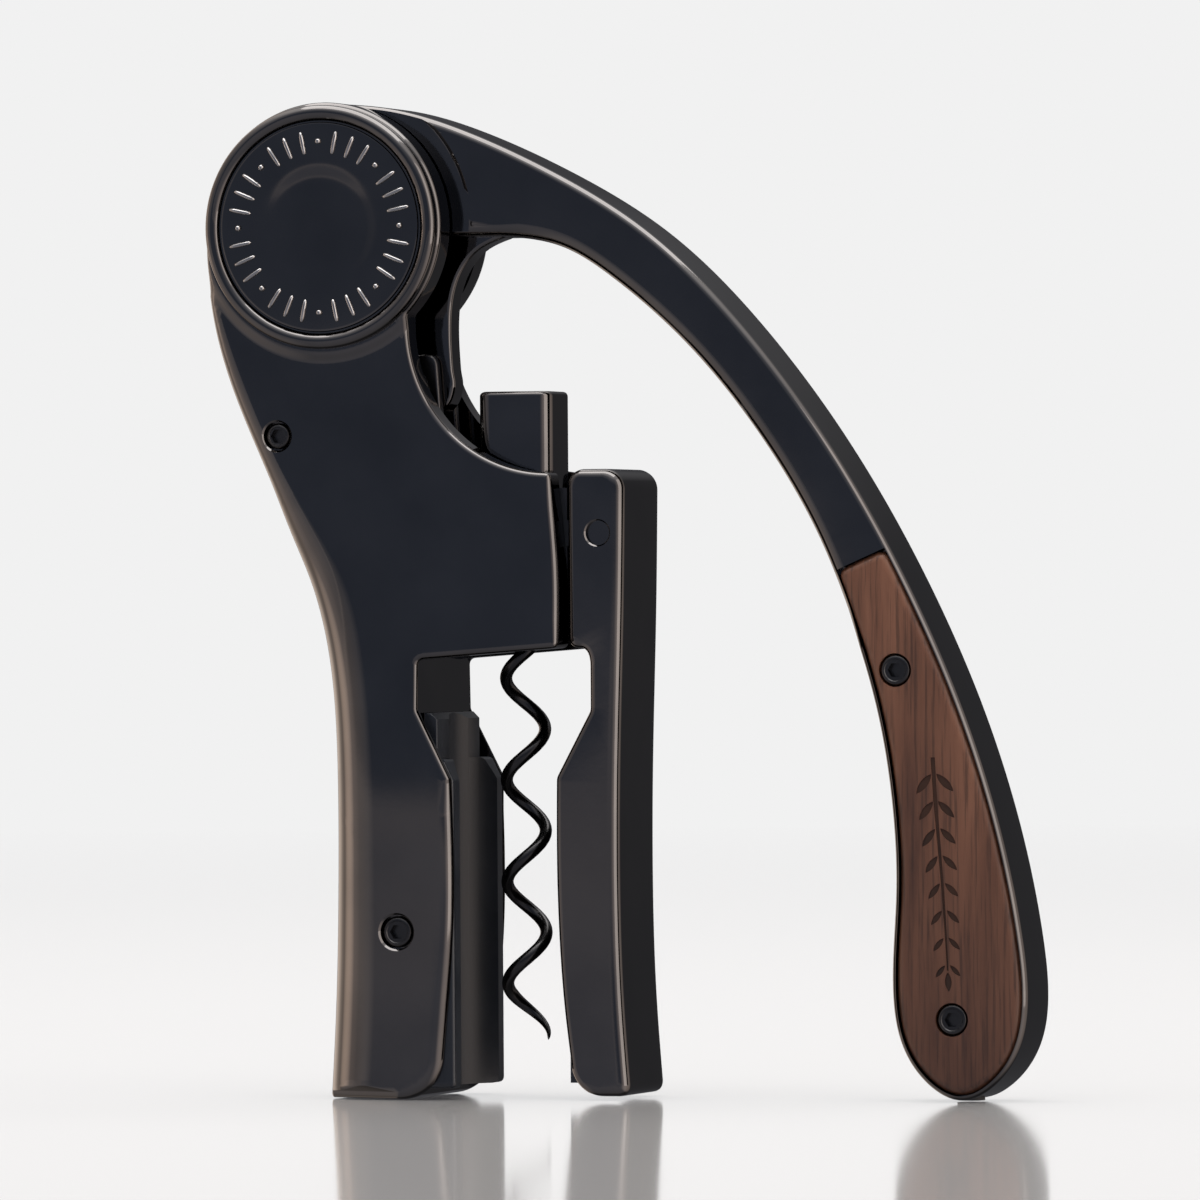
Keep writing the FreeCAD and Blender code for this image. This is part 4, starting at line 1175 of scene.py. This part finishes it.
# Each band: its name, its axis, and its colours at places from -1 (0) to +1 (1) along the axis.
WORLD_BANDS = [("room", "Y", [(0.00, NAVY), (0.42, (0.09, 0.11, 0.15)), (0.55, (0.07, 0.07, 0.076))]),
               ("front", "Y", [(0.45, WHITE), (0.60, BLACK)]),
               ("back", "Y", [(0.55, BLACK), (0.80, WHITE)]),
               ("left", "X", [(0.02, BLACK), (0.08, TAN_SIDE), (0.20, TAN_SIDE), (0.27, BLACK)]),
               ("sides", "X", [(0.00, (1.9, 1.5, 1.22)), (0.02, (0.62, 0.50, 0.42)), (0.075, BROWN_SIDE),
                               (0.22, (0.21, 0.185, 0.165)), (0.30, BLACK), (0.72, BLACK),
                               (0.80, DIM_SIDE), (0.87, (0.62, 0.53, 0.48)), (0.96, WARM_SIDE)]),
               ("above", "Z", [(0.62, BLACK), (0.80, (0.35, 0.35, 0.36)), (0.92, (1.5, 1.5, 1.5))]),
               ("below", "Z", [(0.0, (0.20, 0.18, 0.165)), (0.40, (0.22, 0.195, 0.18)),
                               (0.4795, (0.12, 0.11, 0.105)), (0.4885, UNDER), (0.4955, BLACK)])]
FLOOR_SIZE = 9.0
FLOOR_REACH = 2.4
BACKDROP_RADIUS = 4.2
BACKDROP_HEIGHT = 4.0
BACKDROP_SUNK = 0.6
SEEN_WHITE = 0.88
FLOOR_LIGHT = 0.8

bpy.ops.mesh.primitive_plane_add(size=FLOOR_SIZE, location=(0, 0, -0.0002))
floor = bpy.context.object
floor.name = "floor"
paint(floor, floor_material())
floor.visible_glossy = False


def backdrop(name, radius, material):
    bpy.ops.mesh.primitive_cylinder_add(vertices=96, radius=radius, depth=BACKDROP_HEIGHT,
                                        end_fill_type="NOTHING",
                                        location=(0, 0, BACKDROP_HEIGHT / 2 - BACKDROP_SUNK))
    wall = bpy.context.object
    wall.name = name
    paint(wall, material)
    return wall


seen_wall = backdrop("backdrop", BACKDROP_RADIUS, backdrop_material("backdrop_white", SEEN_WHITE, False))
seen_wall.visible_glossy = False
seen_wall.visible_diffuse = False
seen_wall.visible_shadow = False
lighting_wall = backdrop("backdrop_light", BACKDROP_RADIUS - 0.1,
                         backdrop_material("backdrop_glow", FLOOR_LIGHT, True))
lighting_wall.visible_camera = False
lit_by_backdrop = bpy.data.collections.new("lit_by_backdrop")
lit_by_backdrop.objects.link(floor)
lighting_wall.light_linking.receiver_collection = lit_by_backdrop


def world_light():
    """What the polished pieces reflect: dark behind, blue-black in front, warm at both sides and below."""
    world = bpy.data.worlds.new("studio")
    bpy.context.scene.world = world
    world.use_nodes = True
    tree = world.node_tree
    background = tree.nodes["Background"]
    place = tree.nodes.new("ShaderNodeTexCoord")
    split = tree.nodes.new("ShaderNodeSeparateXYZ")
    link(tree, place, "Generated", split, "Vector")
    bands = {}
    for title, axis, stops in WORLD_BANDS:
        value = spread(tree, split, axis, 0.0, 1.0)
        value.inputs["From Min"].default_value = -1.0
        bands[title] = ramp(tree, value, "Result", stops).outputs["Color"]
    floor_glow = mixed(tree, bands["below"], bands["front"], "MULTIPLY")
    total = mixed(tree, bands["room"], bands["sides"], "ADD")
    total = mixed(tree, total, bands["above"], "ADD")
    total = mixed(tree, total, floor_glow, "ADD")
    wall_glow = mixed(tree, bands["left"], bands["back"], "MULTIPLY")
    total = mixed(tree, total, wall_glow, "ADD")
    tree.links.new(total, background.inputs["Color"])
    background.inputs["Strength"].default_value = 1.0


def soft_box(name, place, target, width, height, power, colour=(1, 1, 1)):
    data = bpy.data.lights.new(name, "AREA")
    data.shape = "RECTANGLE"
    data.size = width
    data.size_y = height
    data.energy = power
    data.color = colour
    box = bpy.data.objects.new(name, data)
    bpy.context.collection.objects.link(box)
    box.location = place
    box.rotation_euler = (Vector(target) - Vector(place)).to_track_quat("-Z", "Y").to_euler()
    box.visible_camera = False
    return box


world_light()
MIDDLE = (0, 0, 0.09)
soft_box("top_box", (0.0, 0.1, 1.6), MIDDLE, 1.6, 1.6, 30)
left_box = soft_box("left_box", (-1.5, -0.2, 0.5), MIDDLE, 1.3, 1.6, 9, (1.0, 0.95, 0.90))
left_box.visible_glossy = False
soft_box("right_box", (1.5, -0.4, 0.6), MIDDLE, 1.0, 1.6, 8, (1.0, 0.95, 0.90))


CAMERA_AIM = Vector((-5.6 * MM, 0, 92.2 * MM))
CAMERA_AZIMUTH = math.radians(18.3)
CAMERA_DISTANCE = 2.0
CAMERA_ROLL = math.radians(-0.39)
CAMERA_LENS = 323.4


def photo_camera():
    """Level with the middle of the object, turned to its right, with a long lens."""
    data = bpy.data.cameras.new("camera")
    camera = bpy.data.objects.new("camera", data)
    bpy.context.collection.objects.link(camera)
    outwards = Vector((math.sin(CAMERA_AZIMUTH), -math.cos(CAMERA_AZIMUTH), 0))
    camera.location = CAMERA_AIM + CAMERA_DISTANCE * outwards
    level = (-outwards).to_track_quat("-Z", "Y").to_matrix().to_4x4()
    camera.rotation_euler = (level @ Matrix.Rotation(CAMERA_ROLL, 4, "Z")).to_euler()
    data.sensor_width = 36.0
    data.lens = CAMERA_LENS
    data.clip_start = 0.05
    data.clip_end = 60.0
    bpy.context.scene.camera = camera


photo_camera()
bpy.context.scene.view_settings.view_transform = "Standard"
